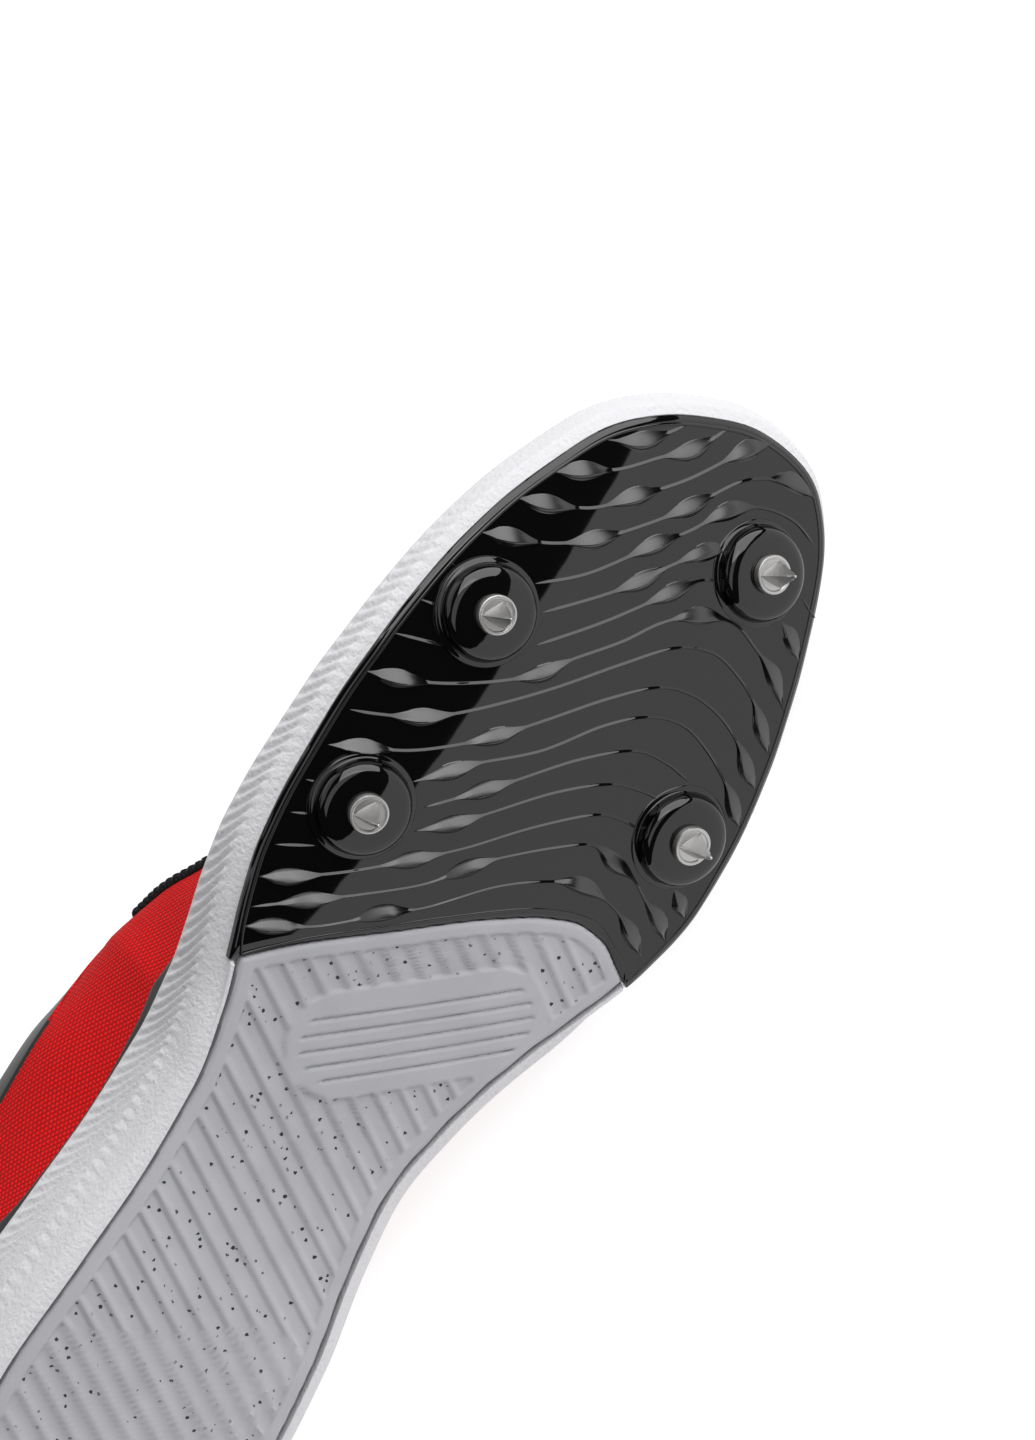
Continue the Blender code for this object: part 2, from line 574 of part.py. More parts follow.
def place(name, mesh, collection, parent, finish=None, matrix=None):
    thing = bpy.data.objects.new(name, mesh)
    collection.objects.link(thing)
    thing.parent = parent
    if matrix is not None:
        thing.matrix_basis = matrix
    if finish:
        mesh.materials.clear()
        mesh.materials.append(finish)
    else:
        thing.hide_render = True
        thing.display_type = "WIRE"
    mesh.shade_smooth()
    mesh.set_sharp_from_angle(angle=0.6)
    return thing


def join(target, other, operation):
    cut = target.modifiers.new(operation.lower(), "BOOLEAN")
    cut.operation = operation
    cut.object = other


def turned(name, profile):
    """Mesh of a profile's edges, for a Screw modifier."""
    mesh = bpy.data.meshes.new(name)
    mesh.from_pydata([(r, 0, z) for r, z in profile], [(k, k + 1) for k in range(len(profile) - 1)], [])
    return mesh


def spin(thing, steps):
    turn = thing.modifiers.new("turn", "SCREW")
    turn.steps = turn.render_steps = steps
    turn.use_merge_vertices = True
    turn.merge_threshold = 0.000002
    turn.use_smooth_shade = True


def boss_frame(along, aside):
    """Place on the bottom of the sole with its axis pointing away from the foot."""
    forward, side = float(forward_of(along)), aside * BALL_WIDTH
    step = 0.5 * MM
    slope_x = (bottom_height(forward + step, side) - bottom_height(forward - step, side)) / (2 * step)
    slope_y = (bottom_height(forward, side + step) - bottom_height(forward, side - step)) / (2 * step)
    down = Vector((float(slope_x), float(slope_y), -1)).normalized()
    point = Vector((forward, side, float(bottom_height(forward, side))))
    along_axis = Vector((1, 0, 0)) - down * down.x
    along_axis.normalize()
    axes = Matrix((along_axis, down.cross(along_axis), down)).transposed()
    return Matrix.Translation(point) @ axes.to_4x4()


def make_plate(parts, helpers, last, finish):
    plate = place("spike_plate", layer("spike_plate", True, 0, 24, 13), parts, last, finish)
    dome = ((0, BOSS_HEIGHT), (BOSS_CROWN, BOSS_HEIGHT), (BOSS_CROWN * 1.13, BOSS_HEIGHT * 0.86),
            (BOSS_RADIUS * 0.96, BOSS_HEIGHT * 0.4), (BOSS_RADIUS, 0), (BOSS_RADIUS, -LAYER / 2), (0, -LAYER / 2))
    for number, (along, aside) in enumerate(zip(BOSSES["along"], BOSSES["aside"]), 1):
        boss = place(f"boss_{number}", turned("boss", dome), helpers, last, None, boss_frame(along, aside))
        spin(boss, 22)
        join(plate, boss, "UNION")
    return plate


def make_spikes(parts, helpers, last, finish):
    rim = FLANGE_RADIUS - 0.4 * MM
    flange = ((0, FLANGE_THICK), (rim, FLANGE_THICK), (FLANGE_RADIUS, FLANGE_THICK * 0.7), (FLANGE_RADIUS, 0), (0, 0))
    for number, (along, aside) in enumerate(zip(BOSSES["along"], BOSSES["aside"]), 1):
        seat = boss_frame(along, aside) @ Matrix.Translation((0, 0, BOSS_HEIGHT + GAP))
        spike = place(f"spike_{number}", turned("spike", flange), parts, last, finish, seat)
        spin(spike, 24)
        work = bmesh.new()
        sunk = FLANGE_THICK / 2
        bmesh.ops.create_cone(work, cap_ends=True, segments=3, radius1=SPIKE_RADIUS, radius2=SPIKE_TIP,
                              depth=SPIKE_HEIGHT + sunk)
        mesh = bpy.data.meshes.new("pyramid")
        work.to_mesh(mesh)
        work.free()
        middle = seat @ Matrix.Translation((0, 0, FLANGE_THICK - sunk + (SPIKE_HEIGHT + sunk) / 2))
        join(spike, place(f"pyramid_{number}", mesh, helpers, last, None, middle), "UNION")


def make_upper(parts, helpers, last, finish):
    upper = place("upper", upper_mesh(), parts, last, finish)
    for number, along in enumerate(EYELETS_AT, 1):
        for side, turn in (("lateral", -float(angle_of(along))), ("medial", float(angle_of(along)))):
            point, normal = surface(turn, EYELET_ROW)
            work = bmesh.new()
            bmesh.ops.create_cone(work, cap_ends=True, segments=10, radius1=EYELET, radius2=EYELET, depth=6 * WALL)
            mesh = bpy.data.meshes.new("punch")
            work.to_mesh(mesh)
            work.free()
            axes = Vector(normal).to_track_quat("Z", "X").to_matrix().to_4x4()
            punch = place(f"punch_{side}_{number}", mesh, helpers, last, None, Matrix.Translation(point) @ axes)
            join(upper, punch, "DIFFERENCE")
    return upper


def make_laces(parts, helpers, last, finish):
    laces = None
    for number, (path, ups) in enumerate(lace_paths()):
        mesh = ribbon_mesh(f"lace_{number}", path, ups)
        if laces is None:
            laces = place("laces", mesh, parts, last, finish)
        else:
            join(laces, place(f"crossing_{number}", mesh, helpers, last), "UNION")
    return laces


def make_floor_block(helpers):
    """What the settled edges are cut flat by."""
    work = bmesh.new()
    bmesh.ops.create_cube(work, size=2 * LENGTH)
    bmesh.ops.translate(work, verts=work.verts, vec=(LENGTH / 2, 0, -LENGTH))
    mesh = bpy.data.meshes.new("floor_block")
    work.to_mesh(mesh)
    work.free()
    return place("floor_block", mesh, helpers, None)


def centre(last, parts):
    """Bring the middle of the whole shoe over the origin."""
    bpy.context.view_layer.update()
    graph = bpy.context.evaluated_depsgraph_get()
    points = []
    for thing in parts:
        seen = thing.evaluated_get(graph)
        mesh = seen.to_mesh()
        flat = np.empty(len(mesh.vertices) * 3)
        mesh.vertices.foreach_get("co", flat)
        matrix = np.array(seen.matrix_world)
        points.append(flat.reshape(-1, 3) @ matrix[:3, :3].T + matrix[:3, 3])
        seen.to_mesh_clear()
    points = np.concatenate(points)
    middle = (points.min(0) + points.max(0)) / 2
    last.matrix_world = Matrix.Translation((-middle[0], -middle[1], 0)) @ last.matrix_world


def main():
    for thing in list(bpy.data.objects):
        bpy.data.objects.remove(thing, do_unlink=True)
    parts = bpy.data.collections.new("track_spike_shoe")
    helpers = bpy.data.collections.new("cutters_and_guides")
    for collection in (parts, helpers):
        bpy.context.scene.collection.children.link(collection)
    turn = turns()
    height, flare = side_wall(turn)
    wall = [with_height(offset_contour(turn, out * flare + ledge * WALL_STEP),
                        dish_height(contour(turn)[:, 0]) + DISH - (1 - up) * (height - LAYER))
            for up, out, ledge in WALL_ROWS]
    last = bpy.data.objects.new("last", None)
    parts.objects.link(last)
    last.matrix_world = rest_frame(np.concatenate(wall), upper_grids(turn)[0].reshape(-1, 3))
    floor_block = make_floor_block(helpers)
    foam = material("midsole_foam", (0.76, 0.76, 0.79), 0.6)
    grey_foam = material("outsole_foam", (0.36, 0.36, 0.38), 0.7)
    nylon = material("plate_nylon", (0.006, 0.006, 0.007), 0.15)
    steel = material("spike_steel", (0.55, 0.55, 0.56), 0.35, 1.0)
    mesh_cloth = material("upper_mesh", (0.55, 0.012, 0.015), 0.8)
    lining = material("tongue_mesh", (0.02, 0.02, 0.022), 0.85)
    sock = material("insole_foam", (0.05, 0.05, 0.055), 0.9)
    cord = material("lace_polyester", (0.012, 0.012, 0.013), 0.7)
    midsole = place("midsole", midsole_mesh(), parts, last, foam)
    place("rear_outsole", layer("rear_outsole", False, SOLE_RIM + 3.5 * GAP, 16, 13), parts, last, grey_foam)
    make_plate(parts, helpers, last, nylon)
    make_spikes(parts, helpers, last, steel)
    upper = make_upper(parts, helpers, last, mesh_cloth)
    place("tongue", tongue_mesh(), parts, last, lining)
    place("insole", insole_mesh(), parts, last, sock)
    make_laces(parts, helpers, last, cord)
    for piece in (midsole, upper):
        join(piece, floor_block, "DIFFERENCE")
    centre(last, [thing for thing in parts.objects if thing.type == "MESH"])


main()
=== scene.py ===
# Running spike for the right foot, lying on its medial side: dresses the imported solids.
# Shapes are worked out upright in mm (x heel to toe, y medial, z up from the ground) and then laid down.
from math import pi, radians

import bmesh
import bpy
import numpy as np
from mathutils import Euler, Matrix, Vector
from numpy.linalg import norm


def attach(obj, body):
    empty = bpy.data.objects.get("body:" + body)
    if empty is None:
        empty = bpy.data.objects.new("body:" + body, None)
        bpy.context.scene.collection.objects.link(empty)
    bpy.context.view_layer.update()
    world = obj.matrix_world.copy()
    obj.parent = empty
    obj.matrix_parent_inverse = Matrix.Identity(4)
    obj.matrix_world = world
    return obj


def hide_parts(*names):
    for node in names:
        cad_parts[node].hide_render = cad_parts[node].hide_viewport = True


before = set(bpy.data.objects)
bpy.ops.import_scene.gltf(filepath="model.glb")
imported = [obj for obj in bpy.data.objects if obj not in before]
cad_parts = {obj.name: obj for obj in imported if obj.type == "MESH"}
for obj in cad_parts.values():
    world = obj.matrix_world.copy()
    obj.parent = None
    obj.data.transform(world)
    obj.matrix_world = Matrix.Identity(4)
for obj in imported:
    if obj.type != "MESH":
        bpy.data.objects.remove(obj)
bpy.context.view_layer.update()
mm = 0.001
restPose = {"turnDeg": (-95.785, -3.8866, 0.0), "moveMm": (-142.194, -49.765, 31.662)}
layDown = np.array(Euler([radians(a) for a in restPose["turnDeg"]]).to_matrix())


def laid(points):  # upright mm to metres in the row frame: turned by restPose, then moved
    return (points @ layDown.T + restPose["moveMm"]) * mm


def smoothCurve(xs, ys, at):  # monotone cubic through the table's points, flat where the table turns back
    step = np.diff(xs)
    rise = np.diff(ys) / step
    back = rise[1:] * rise[:-1] <= 0
    before, after = np.where(back, 1, rise[:-1]), np.where(back, 1, rise[1:])
    wa, wb = 2 * step[1:] + step[:-1], step[1:] + 2 * step[:-1]
    slope = np.concatenate([rise[:1], np.where(back, 0, (wa + wb) / (wa / before + wb / after)), rise[-1:]])
    k = np.clip(np.searchsorted(xs, at, side="right") - 1, 0, len(step) - 1)
    t = (at - xs[k]) / step[k]
    return ((1 + 2 * t) * (1 - t) ** 2 * ys[k] + t * (1 - t) ** 2 * step[k] * slope[k]
            + t ** 2 * (3 - 2 * t) * ys[k + 1] - t ** 2 * (1 - t) * step[k] * slope[k + 1])


def ease(value, low, high):  # 0 below low, 1 above high, 3t^2 - 2t^3 between
    t = np.clip((np.asarray(value, float) - low) / (high - low), 0, 1)
    return t * t * (3 - 2 * t)


def unit(v):
    return v / np.maximum(norm(v, axis=-1, keepdims=True), 1e-12)


def runAlong(path):  # length of a path up to each of its points
    return np.concatenate([[0], np.cumsum(norm(np.diff(path, axis=0), axis=1))])


def leftOf(way):  # a direction in plan, turned a quarter to the left
    return np.stack([-way[..., 1], way[..., 0]], -1)


def axesOn(normal):  # the way to the toe along a surface, the way aside and the surface's normal
    ahead = unit(np.array([1.0, 0, 0]) - normal * normal[0])
    return ahead, np.cross(normal, ahead), normal


def roundTurn(count):  # that many even angles round a circle
    return np.linspace(0, 2 * pi, count, endpoint=False)


def through(points, count):  # Catmull-Rom curve through a few points, at even lengths
    points = np.array(points, float)
    ends = np.concatenate([[2 * points[0] - points[1]], points, [2 * points[-1] - points[-2]]])
    at = np.linspace(0, len(points) - 1, 40 * len(points))
    k = np.minimum(at.astype(int), len(points) - 2)
    t = (at - k)[:, None]
    a, b, c, d = (ends[k + n] for n in range(4))
    fine = 0.5 * (2 * b + (c - a) * t + (2 * a - 5 * b + 4 * c - d) * t ** 2 + (3 * b - a - 3 * c + d) * t ** 3)
    run = runAlong(fine)
    even = np.linspace(0, run[-1], count)
    return np.stack([np.interp(even, run, fine[:, n]) for n in range(points.shape[1])], 1)


def gridFaces(rows, columns, wrapRows=False, wrapColumns=False):  # quads of a grid, closed round either way
    r, c = np.meshgrid(np.arange(rows - (not wrapRows)), np.arange(columns - (not wrapColumns)), indexing="ij")
    r2, c2 = (r + 1) % rows, (c + 1) % columns
    return np.stack([r * columns + c, r * columns + c2, r2 * columns + c2, r2 * columns + c], -1).reshape(-1, 4)


def slabFaces(rows, columns):  # two grids of one size, the second after the first, joined round their borders
    low = gridFaces(rows, columns)
    high = low[:, ::-1] + rows * columns
    r, c = np.arange(rows), np.arange(columns)
    border = np.concatenate([c, r[1:] * columns + columns - 1, (rows - 1) * columns + c[-2::-1],
                             r[-2:0:-1] * columns])
    after = np.roll(border, -1)
    side = np.stack([border, border + rows * columns, after + rows * columns, after], -1)
    return np.concatenate([low, high, side])


def tubeFaces(rings):  # closed rings along a path; both end rings are points
    return gridFaces(*rings.shape[:2], wrapColumns=True)


def makeMesh(name, points, faces, uv=None):  # merges the doubles of seams and poles, then turns faces outwards
    mesh = bpy.data.meshes.new(name)
    placed = laid(points.reshape(-1, 3))
    placed[:, 2] = np.maximum(placed[:, 2], 0)  # pressed flat where it lies on the floor
    mesh.from_pydata(placed.tolist(), [], faces.tolist())
    if uv is not None:
        layer = mesh.uv_layers.new(name="surface")
        index = np.empty(len(mesh.loops), int)
        mesh.loops.foreach_get("vertex_index", index)
        layer.data.foreach_set("uv", uv.reshape(-1, 2)[index].ravel())
    work = bmesh.new()
    work.from_mesh(mesh)
    bmesh.ops.remove_doubles(work, verts=work.verts, dist=0.002 * mm)
    bmesh.ops.dissolve_degenerate(work, edges=work.edges, dist=0.001 * mm)
    bmesh.ops.recalc_face_normals(work, faces=work.faces)
    work.to_mesh(mesh)
    work.free()
    mesh.validate()
    return mesh


def inScene(name, data):
    thing = bpy.data.objects.new(name, data)
    bpy.context.scene.collection.objects.link(thing)
    return thing


def showPiece(mesh, materials, replaces, sharp):  # edges that turn by more than sharp degrees stay crisp
    piece = inScene(mesh.name, mesh)
    for material in materials:
        mesh.materials.append(material)
    mesh.shade_smooth()
    mesh.set_sharp_from_angle(angle=radians(sharp))
    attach(piece, "root")
    if replaces:
        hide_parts(*replaces)
    return piece


def joined(name, shells):  # closed surfaces in one mesh: points, faces (None for a tube) and uv or None of each
    points, faces, uv, count = [], [], [], 0
    for grid, quads, flat in shells:
        faces.append((tubeFaces(grid) if quads is None else quads) + count)
        points.append(grid.reshape(-1, 3))
        uv.append(np.zeros((len(points[-1]), 2)) if flat is None else flat.reshape(-1, 2))
        count += len(points[-1])
    return makeMesh(name, *(np.concatenate(part) for part in (points, faces, uv)))


def linear(code):  # sRGB hex to linear
    c = np.array([int(code[k:k + 2], 16) for k in (1, 3, 5)]) / 255
    return (*np.where(c <= 0.04045, c / 12.92, ((c + 0.055) / 1.055) ** 2.4), 1.0)


def addNode(tree, kind, inputs=(), feeds=None, **settings):  # inputs: socket to a value, an output or a node
    node = tree.nodes.new("ShaderNode" + kind)
    for key, value in settings.items():
        setattr(node, key, value)
    for key, value in dict(inputs).items():
        if isinstance(value, bpy.types.Node):
            value = value.outputs[0]
        if isinstance(value, bpy.types.NodeSocket):
            tree.links.new(value, node.inputs[key])
        else:
            node.inputs[key].default_value = value
    if feeds:  # a shader's socket that reads this node
        tree.links.new(node.outputs["Result" if kind == "Mix" else 0], feeds)
    return node


def newMaterial(name, colour, roughness, **sockets):
    material = bpy.data.materials.new(name)
    material.use_nodes = True
    shader = material.node_tree.nodes["Principled BSDF"]
    shader.inputs["Base Color"].default_value = linear(colour)
    shader.inputs["Roughness"].default_value = roughness
    for key, value in sockets.items():
        shader.inputs[key.replace("_", " ")].default_value = value
    return material, material.node_tree, shader


def addGrain(tree, shader, size, strength, depth, detail=2.0):  # soft noise of a size and depth in mm as relief
    place = addNode(tree, "TexCoord").outputs["Object"]
    noise = addNode(tree, "TexNoise", {"Vector": place, "Scale": 1 / (size * mm), "Detail": detail})
    addNode(tree, "Bump", {"Height": noise, "Strength": strength, "Distance": depth * mm},
            shader.inputs["Normal"])


# the last and the sole, as functions of a signed angle: 0 at the heel, pi at the toe, lateral negative

def table(text):  # rows of numbers, parted by slashes
    return np.array([row.split() for row in text.split("/")], float)


sole = {
    "length": 284.5, "ballWidth": 91.5, "heelWidth": 63.5, "heelFlare": 4.5, "toeFlare": 2.1,
    "toeSpring": 22, "archRise": 3, "heelBevel": 5, "edgeLift": 3.5,
    "ledge": 0.5, "rim": 2.2, "dish": 4, "layer": 2.6, "foamRim": 1.2, "gap": 0.3,
    "ballAt": 0.655, "archFrom": 0.20, "archTo": 0.63, "bevelEnd": 0.12, "spineEnd": 0.09,
}
# along, lateral and medial as shares of the heel's or the ball's width
outline = table("""
    0 0.03 -0.03 / 0.04 0.41 0.34 / 0.1 0.51 0.44 / 0.17 0.54 0.46 / 0.26 0.52 0.42 / 0.34 0.5 0.35 /
    0.4 0.51 0.32 / 0.46 0.395 0.248 / 0.5 0.44 0.278 / 0.54 0.487 0.32 / 0.58 0.522 0.372 / 0.63 0.541 0.43 /
    0.69 0.546 0.463 / 0.74 0.535 0.459 / 0.8 0.505 0.437 / 0.86 0.446 0.4 / 0.91 0.365 0.36 /
    0.945 0.29 0.325 / 0.975 0.17 0.268 / 0.992 0.048 0.205 / 1 -0.075 0.075""")
outlineSize = np.where(outline[:, 0] < 0.43, sole["heelWidth"], sole["ballWidth"])
sideRows = table("""
    0 27 4.5 / 0.2 26.46 4.5 / 0.4 22.41 4.95 / 0.5 18.36 4.185 / 0.6 16.24 3.36 / 0.7 14.5 2.94 /
    0.9 12.47 1.995 / 1 9.715 1.89""")  # along, height and flare of the side wall
# across from lateral to medial, and along, of the plate's rear edge
plateRear = table("""
    0 0.494 / 0.17 0.524 / 0.4 0.568 / 0.6 0.614 / 0.7 0.632 / 0.78 0.639 / 0.85 0.636 / 0.93 0.624 / 1 0.613""")


def shareOf(turn):
    return (1 - np.cos(turn)) / 2


def angleOf(share):
    return np.arccos(1 - 2 * np.clip(share, 0, 1))


footprint = sole["length"] - sole["heelFlare"] - sole["toeFlare"]


def forwardOf(share):
    return sole["heelFlare"] + share * footprint


def shareAt(forward):
    return (forward - sole["heelFlare"]) / footprint


def contour(turn):  # the sole's edge in plan: table of half widths read by the angle
    rows = angleOf(outline[:, 0])
    lateral = smoothCurve(rows, -outlineSize * outline[:, 1], np.abs(turn))
    medial = smoothCurve(rows, outlineSize * outline[:, 2], np.abs(turn))
    return np.stack([forwardOf(shareOf(turn)), np.where(turn < 0, lateral, medial)], -1)


def wrapTurn(turn):
    return (turn + pi) % (2 * pi) - pi


def offsetContour(turn, out):  # the contour moved outwards along its plan normal
    run = contour(wrapTurn(turn + 0.02)) - contour(wrapTurn(turn - 0.02))
    return contour(turn) + unit(leftOf(run)) * np.broadcast_to(out, np.shape(turn))[..., None]


def centreHeight(forward):  # toe spring as a parabola, arch as a squared sine, heel bevel as a parabola
    share = shareAt(forward)
    spring = sole["toeSpring"] * (np.clip(share - sole["ballAt"], 0, 1) / (1 - sole["ballAt"])) ** 2
    arch = np.clip((share - sole["archFrom"]) / (sole["archTo"] - sole["archFrom"]), 0, 1)
    return (spring + sole["archRise"] * np.sin(pi * arch) ** 2
            + sole["heelBevel"] * np.clip(1 - share / sole["bevelEnd"], 0, 1.2) ** 2)


def bottomHeight(forward, aside):  # centre height plus the crosswise rounding
    middle = outlineSize * (outline[:, 2] - outline[:, 1]) / 2
    away = aside - smoothCurve(outline[:, 0], middle, np.clip(shareAt(forward), 0, 1))
    return centreHeight(forward) + sole["edgeLift"] * (away / (sole["ballWidth"] / 2)) ** 2


def wallFlare(turn):  # mm that the side wall stands out
    return smoothCurve(sideRows[:, 0], sideRows[:, 2], shareOf(turn))


def dishHeight(forward):  # the midsole's top face inside its rim
    share = np.clip(shareAt(forward), 0, 1)
    return centreHeight(forward) + smoothCurve(sideRows[:, 0], sideRows[:, 1], share) - sole["dish"]


def raised(plan, height):
    return np.concatenate([plan, np.broadcast_to(height, plan.shape[:-1])[..., None]], -1)


def evenTurns(count):  # angles at equal lengths round the sole, from the toe by the lateral side and back
    fine = np.linspace(-pi, pi, 8001)
    run = runAlong(contour(fine))
    at = np.linspace(0, run[-1], count, endpoint=False)
    return np.interp(at, run, fine), at


def towardsSpine(loop, turn, share):  # a loop drawn in towards the sole's middle line
    reach = sole["spineEnd"] * sole["length"]
    forward = np.clip(forwardOf(shareOf(turn)), reach, sole["length"] - reach)
    angle = angleOf(shareAt(forward))
    spine = np.stack([forward, (contour(-angle)[..., 1] + contour(angle)[..., 1]) / 2], -1)
    return spine + (loop - spine) * share


def layerPlan(front, inset, rows, columns):  # straight across from edge to edge: the plate, or what's behind it
    across = (1 - np.cos(np.linspace(0, pi, columns))) / 2
    edge = smoothCurve(plateRear[:, 0], plateRear[:, 1], across)
    if front:
        begin, end = angleOf(edge), pi + 0 * edge
    else:
        plate = layerPlan(True, 0, 3, columns)[0]
        for _ in range(8):
            lateral, medial = offsetContour(-angleOf(edge), -inset), offsetContour(angleOf(edge), -inset)
            now = lateral + (medial - lateral) * across[:, None]
            ahead = np.interp(now[:, 1], plate[:, 1], plate[:, 0]) - 1.5 * sole["gap"] - now[:, 0]
            edge = edge + ahead / sole["length"]  # nearer the plate each time
        begin, end = 0 * edge, angleOf(edge)
    angle = begin + (end - begin) * (np.linspace(0, 1, rows) if np.isscalar(rows) else rows)[:, None]
    lateral, medial = offsetContour(-angle, -inset), offsetContour(np.minimum(angle, pi), -inset)
    return lateral + (medial - lateral) * across[:, None]


def borderOf(plan):
    return np.concatenate([plan[0], plan[1:, -1], plan[-1, -2::-1], plan[-2:0:-1, 0]])


def edgeDistance(plan, front, inset):  # mm from each plan point to its layer's border, drawn finely
    border = borderOf(layerPlan(front, inset, 500, 260))
    flat = plan.reshape(-1, 2)
    away = [norm(flat[:, None] - part, axis=-1).min(1) for part in np.array_split(border, 12)]
    return np.min(away, 0).reshape(plan.shape[:-1])


print("shoe: sole functions ready")

# compression-moulded EVA foam: white, dull, with a leather-like grain from the mould
foamWhite, tree, shader = newMaterial("mouldedFoamWhite", "#cccbce", 0.62, Specular_IOR_Level=0.35)
place = addNode(tree, "TexCoord").outputs["Object"]
pebbles = addNode(tree, "TexVoronoi", {"Vector": place, "Scale": 1 / (0.9 * mm)}, feature="SMOOTH_F1")
dust = addNode(tree, "TexNoise", {"Vector": place, "Scale": 1 / (0.5 * mm), "Detail": 3})
leathery = addNode(tree, "Math", {0: pebbles, 1: dust}, operation="ADD")
addNode(tree, "Bump", {"Height": leathery, "Strength": 0.8, "Distance": 0.2 * mm}, shader.inputs["Normal"])

# rubbery foam with ground-in black crumbs: grey, flat, specks about half a millimetre
foamGrey, tree, shader = newMaterial("recycledFoamGrey", "#b3b3b8", 0.72, Specular_IOR_Level=0.3)
place = addNode(tree, "TexCoord").outputs["Object"]
wobble = addNode(tree, "TexNoise", {"Vector": place, "Scale": 1 / (0.5 * mm)})
shake = addNode(tree, "VectorMath", {0: wobble.outputs["Color"], "Scale": 0.7 * mm}, operation="SCALE")
shaken = addNode(tree, "VectorMath", {0: place, 1: shake})  # makes the crumbs ragged
crumbs = addNode(tree, "TexVoronoi", {"Vector": shaken, "Scale": 1 / (1.7 * mm)})
near = addNode(tree, "Math", {0: crumbs, 1: 0.24}, operation="LESS_THAN")
pick = addNode(tree, "SeparateColor", {"Color": crumbs.outputs["Color"]})
some = addNode(tree, "Math", {0: pick, 1: 0.42}, operation="LESS_THAN")
marks = addNode(tree, "UVMap", uv_map="surface")  # x is 1 in the stripes' hollows, where the crumbs show
hollow = addNode(tree, "SeparateXYZ", {0: marks})
inHollow = addNode(tree, "Math", {0: near, 1: hollow}, operation="MULTIPLY")
speck = addNode(tree, "Math", {0: inHollow, 1: some}, operation="MULTIPLY")
cloud = addNode(tree, "TexNoise", {"Vector": place, "Scale": 1 / (9 * mm)})
shade = addNode(tree, "Mix", {"Factor": cloud, "A": linear("#a2a2a6"), "B": linear("#b0b0b4")},
                data_type="RGBA")
addNode(tree, "Mix", {"Factor": speck, "A": shade.outputs["Result"], "B": linear("#2c2c30")},
        shader.inputs["Base Color"], data_type="RGBA")
addGrain(tree, shader, 0.45, 0.4, 0.08, 3.0)

# injection-moulded nylon straight from a polished mould: black and glossy
nylonBlack, tree, shader = newMaterial("polishedNylonBlack", "#050505", 0.035, IOR=1.53, Specular_IOR_Level=0.5)
etched = addNode(tree, "UVMap", uv_map="surface")  # x is 1 on the ribs' leaves, whose mould was left satin
finish = addNode(tree, "SeparateXYZ", {0: etched})
for socket, polished, satin in (("Roughness", 0.035, 0.24), ("Specular IOR Level", 0.5, 0.85)):
    addNode(tree, "MapRange", {"Value": finish, "To Min": polished, "To Max": satin}, shader.inputs[socket])
addGrain(tree, shader, 14, 0.25, 0.15)

# sintered and tumbled steel: grey, grainy, soft highlights
steel, tree, shader = newMaterial("tumbledSteel", "#b4b3b2", 0.4, Metallic=1.0)
addGrain(tree, shader, 0.35, 0.5, 0.05, 4.0)

# hot-melted TPU film over the cloth: black, satin, smooth
filmBlack, tree, shader = newMaterial("fusedFilmBlack", "#0e0e0f", 0.42)
addGrain(tree, shader, 0.6, 0.3, 0.05)


def wovenCloth(name, thread, gapColour, pitch, depth, roughness=0.85, sheen=0.25):
    # plain weave on the piece's UV map in mm: each thread is a sine band, over and under its neighbours
    material, tree, shader = newMaterial(name, thread, roughness, Sheen_Weight=sheen, Sheen_Roughness=0.5,
                                         Specular_IOR_Level=0.2)
    uv = addNode(tree, "UVMap", uv_map="surface")
    onBias = addNode(tree, "Mapping", {"Vector": uv, "Rotation": (0, 0, radians(45))})
    bands = 2 * pi / (20 * pitch)  # a wave texture's scale for threads that far apart
    warp, weft = (addNode(tree, "TexWave", {"Vector": onBias, "Scale": bands},
                          bands_direction=way).outputs["Fac"] for way in "XY")
    knots = addNode(tree, "Math", {0: warp, 1: weft}, operation="MULTIPLY")
    lint = addNode(tree, "TexNoise", {"Vector": uv, "Scale": 3, "Detail": 3})
    soft = addNode(tree, "Math", {0: knots, 1: lint, 2: 0.05}, operation="MULTIPLY_ADD")
    ramp = addNode(tree, "MapRange", {"Value": soft, "From Min": 0.02, "From Max": 0.22})
    addNode(tree, "Mix", {"Factor": ramp, "A": linear(gapColour), "B": linear(thread)},
            shader.inputs["Base Color"], data_type="RGBA")
    addNode(tree, "Bump", {"Height": knots, "Strength": 0.8, "Distance": depth * mm}, shader.inputs["Normal"])
    return material


redCloth = wovenCloth("wovenPolyesterRed", "#e60a0c", "#8a0709", 1.2, 0.35, sheen=0.0)
blackCloth = wovenCloth("wovenPolyesterBlack", "#111113", "#040405", 1.3, 0.3, sheen=0.03)
liningCloth = wovenCloth("brushedKnitBlack", "#131315", "#080809", 0.8, 0.12, 0.95, 0.1)
laceCloth = wovenCloth("braidedLaceBlack", "#141416", "#050506", 0.9, 0.25, 0.8, 0.04)

print("shoe: materials ready")

# spike plate

plate = {
    "chamferWide": 1, "chamferHigh": 0.62, "lipIn": 1.45, "lipHalf": 0.28, "lipHigh": 0.2,
    "rollHigh": 1.5, "rollWide": 34, "bossHeight": 4,
    "ridgeHalf": 0.32, "ridgeHigh": 0.3, "leafHalf": 1.8, "leafHigh": 1, "leafLength": 13, "leafLate": 0.8,
    "rearSteeper": 0.4, "steepUpTo": 185, "plainFrom": 230, "grid": (170, 110),
}
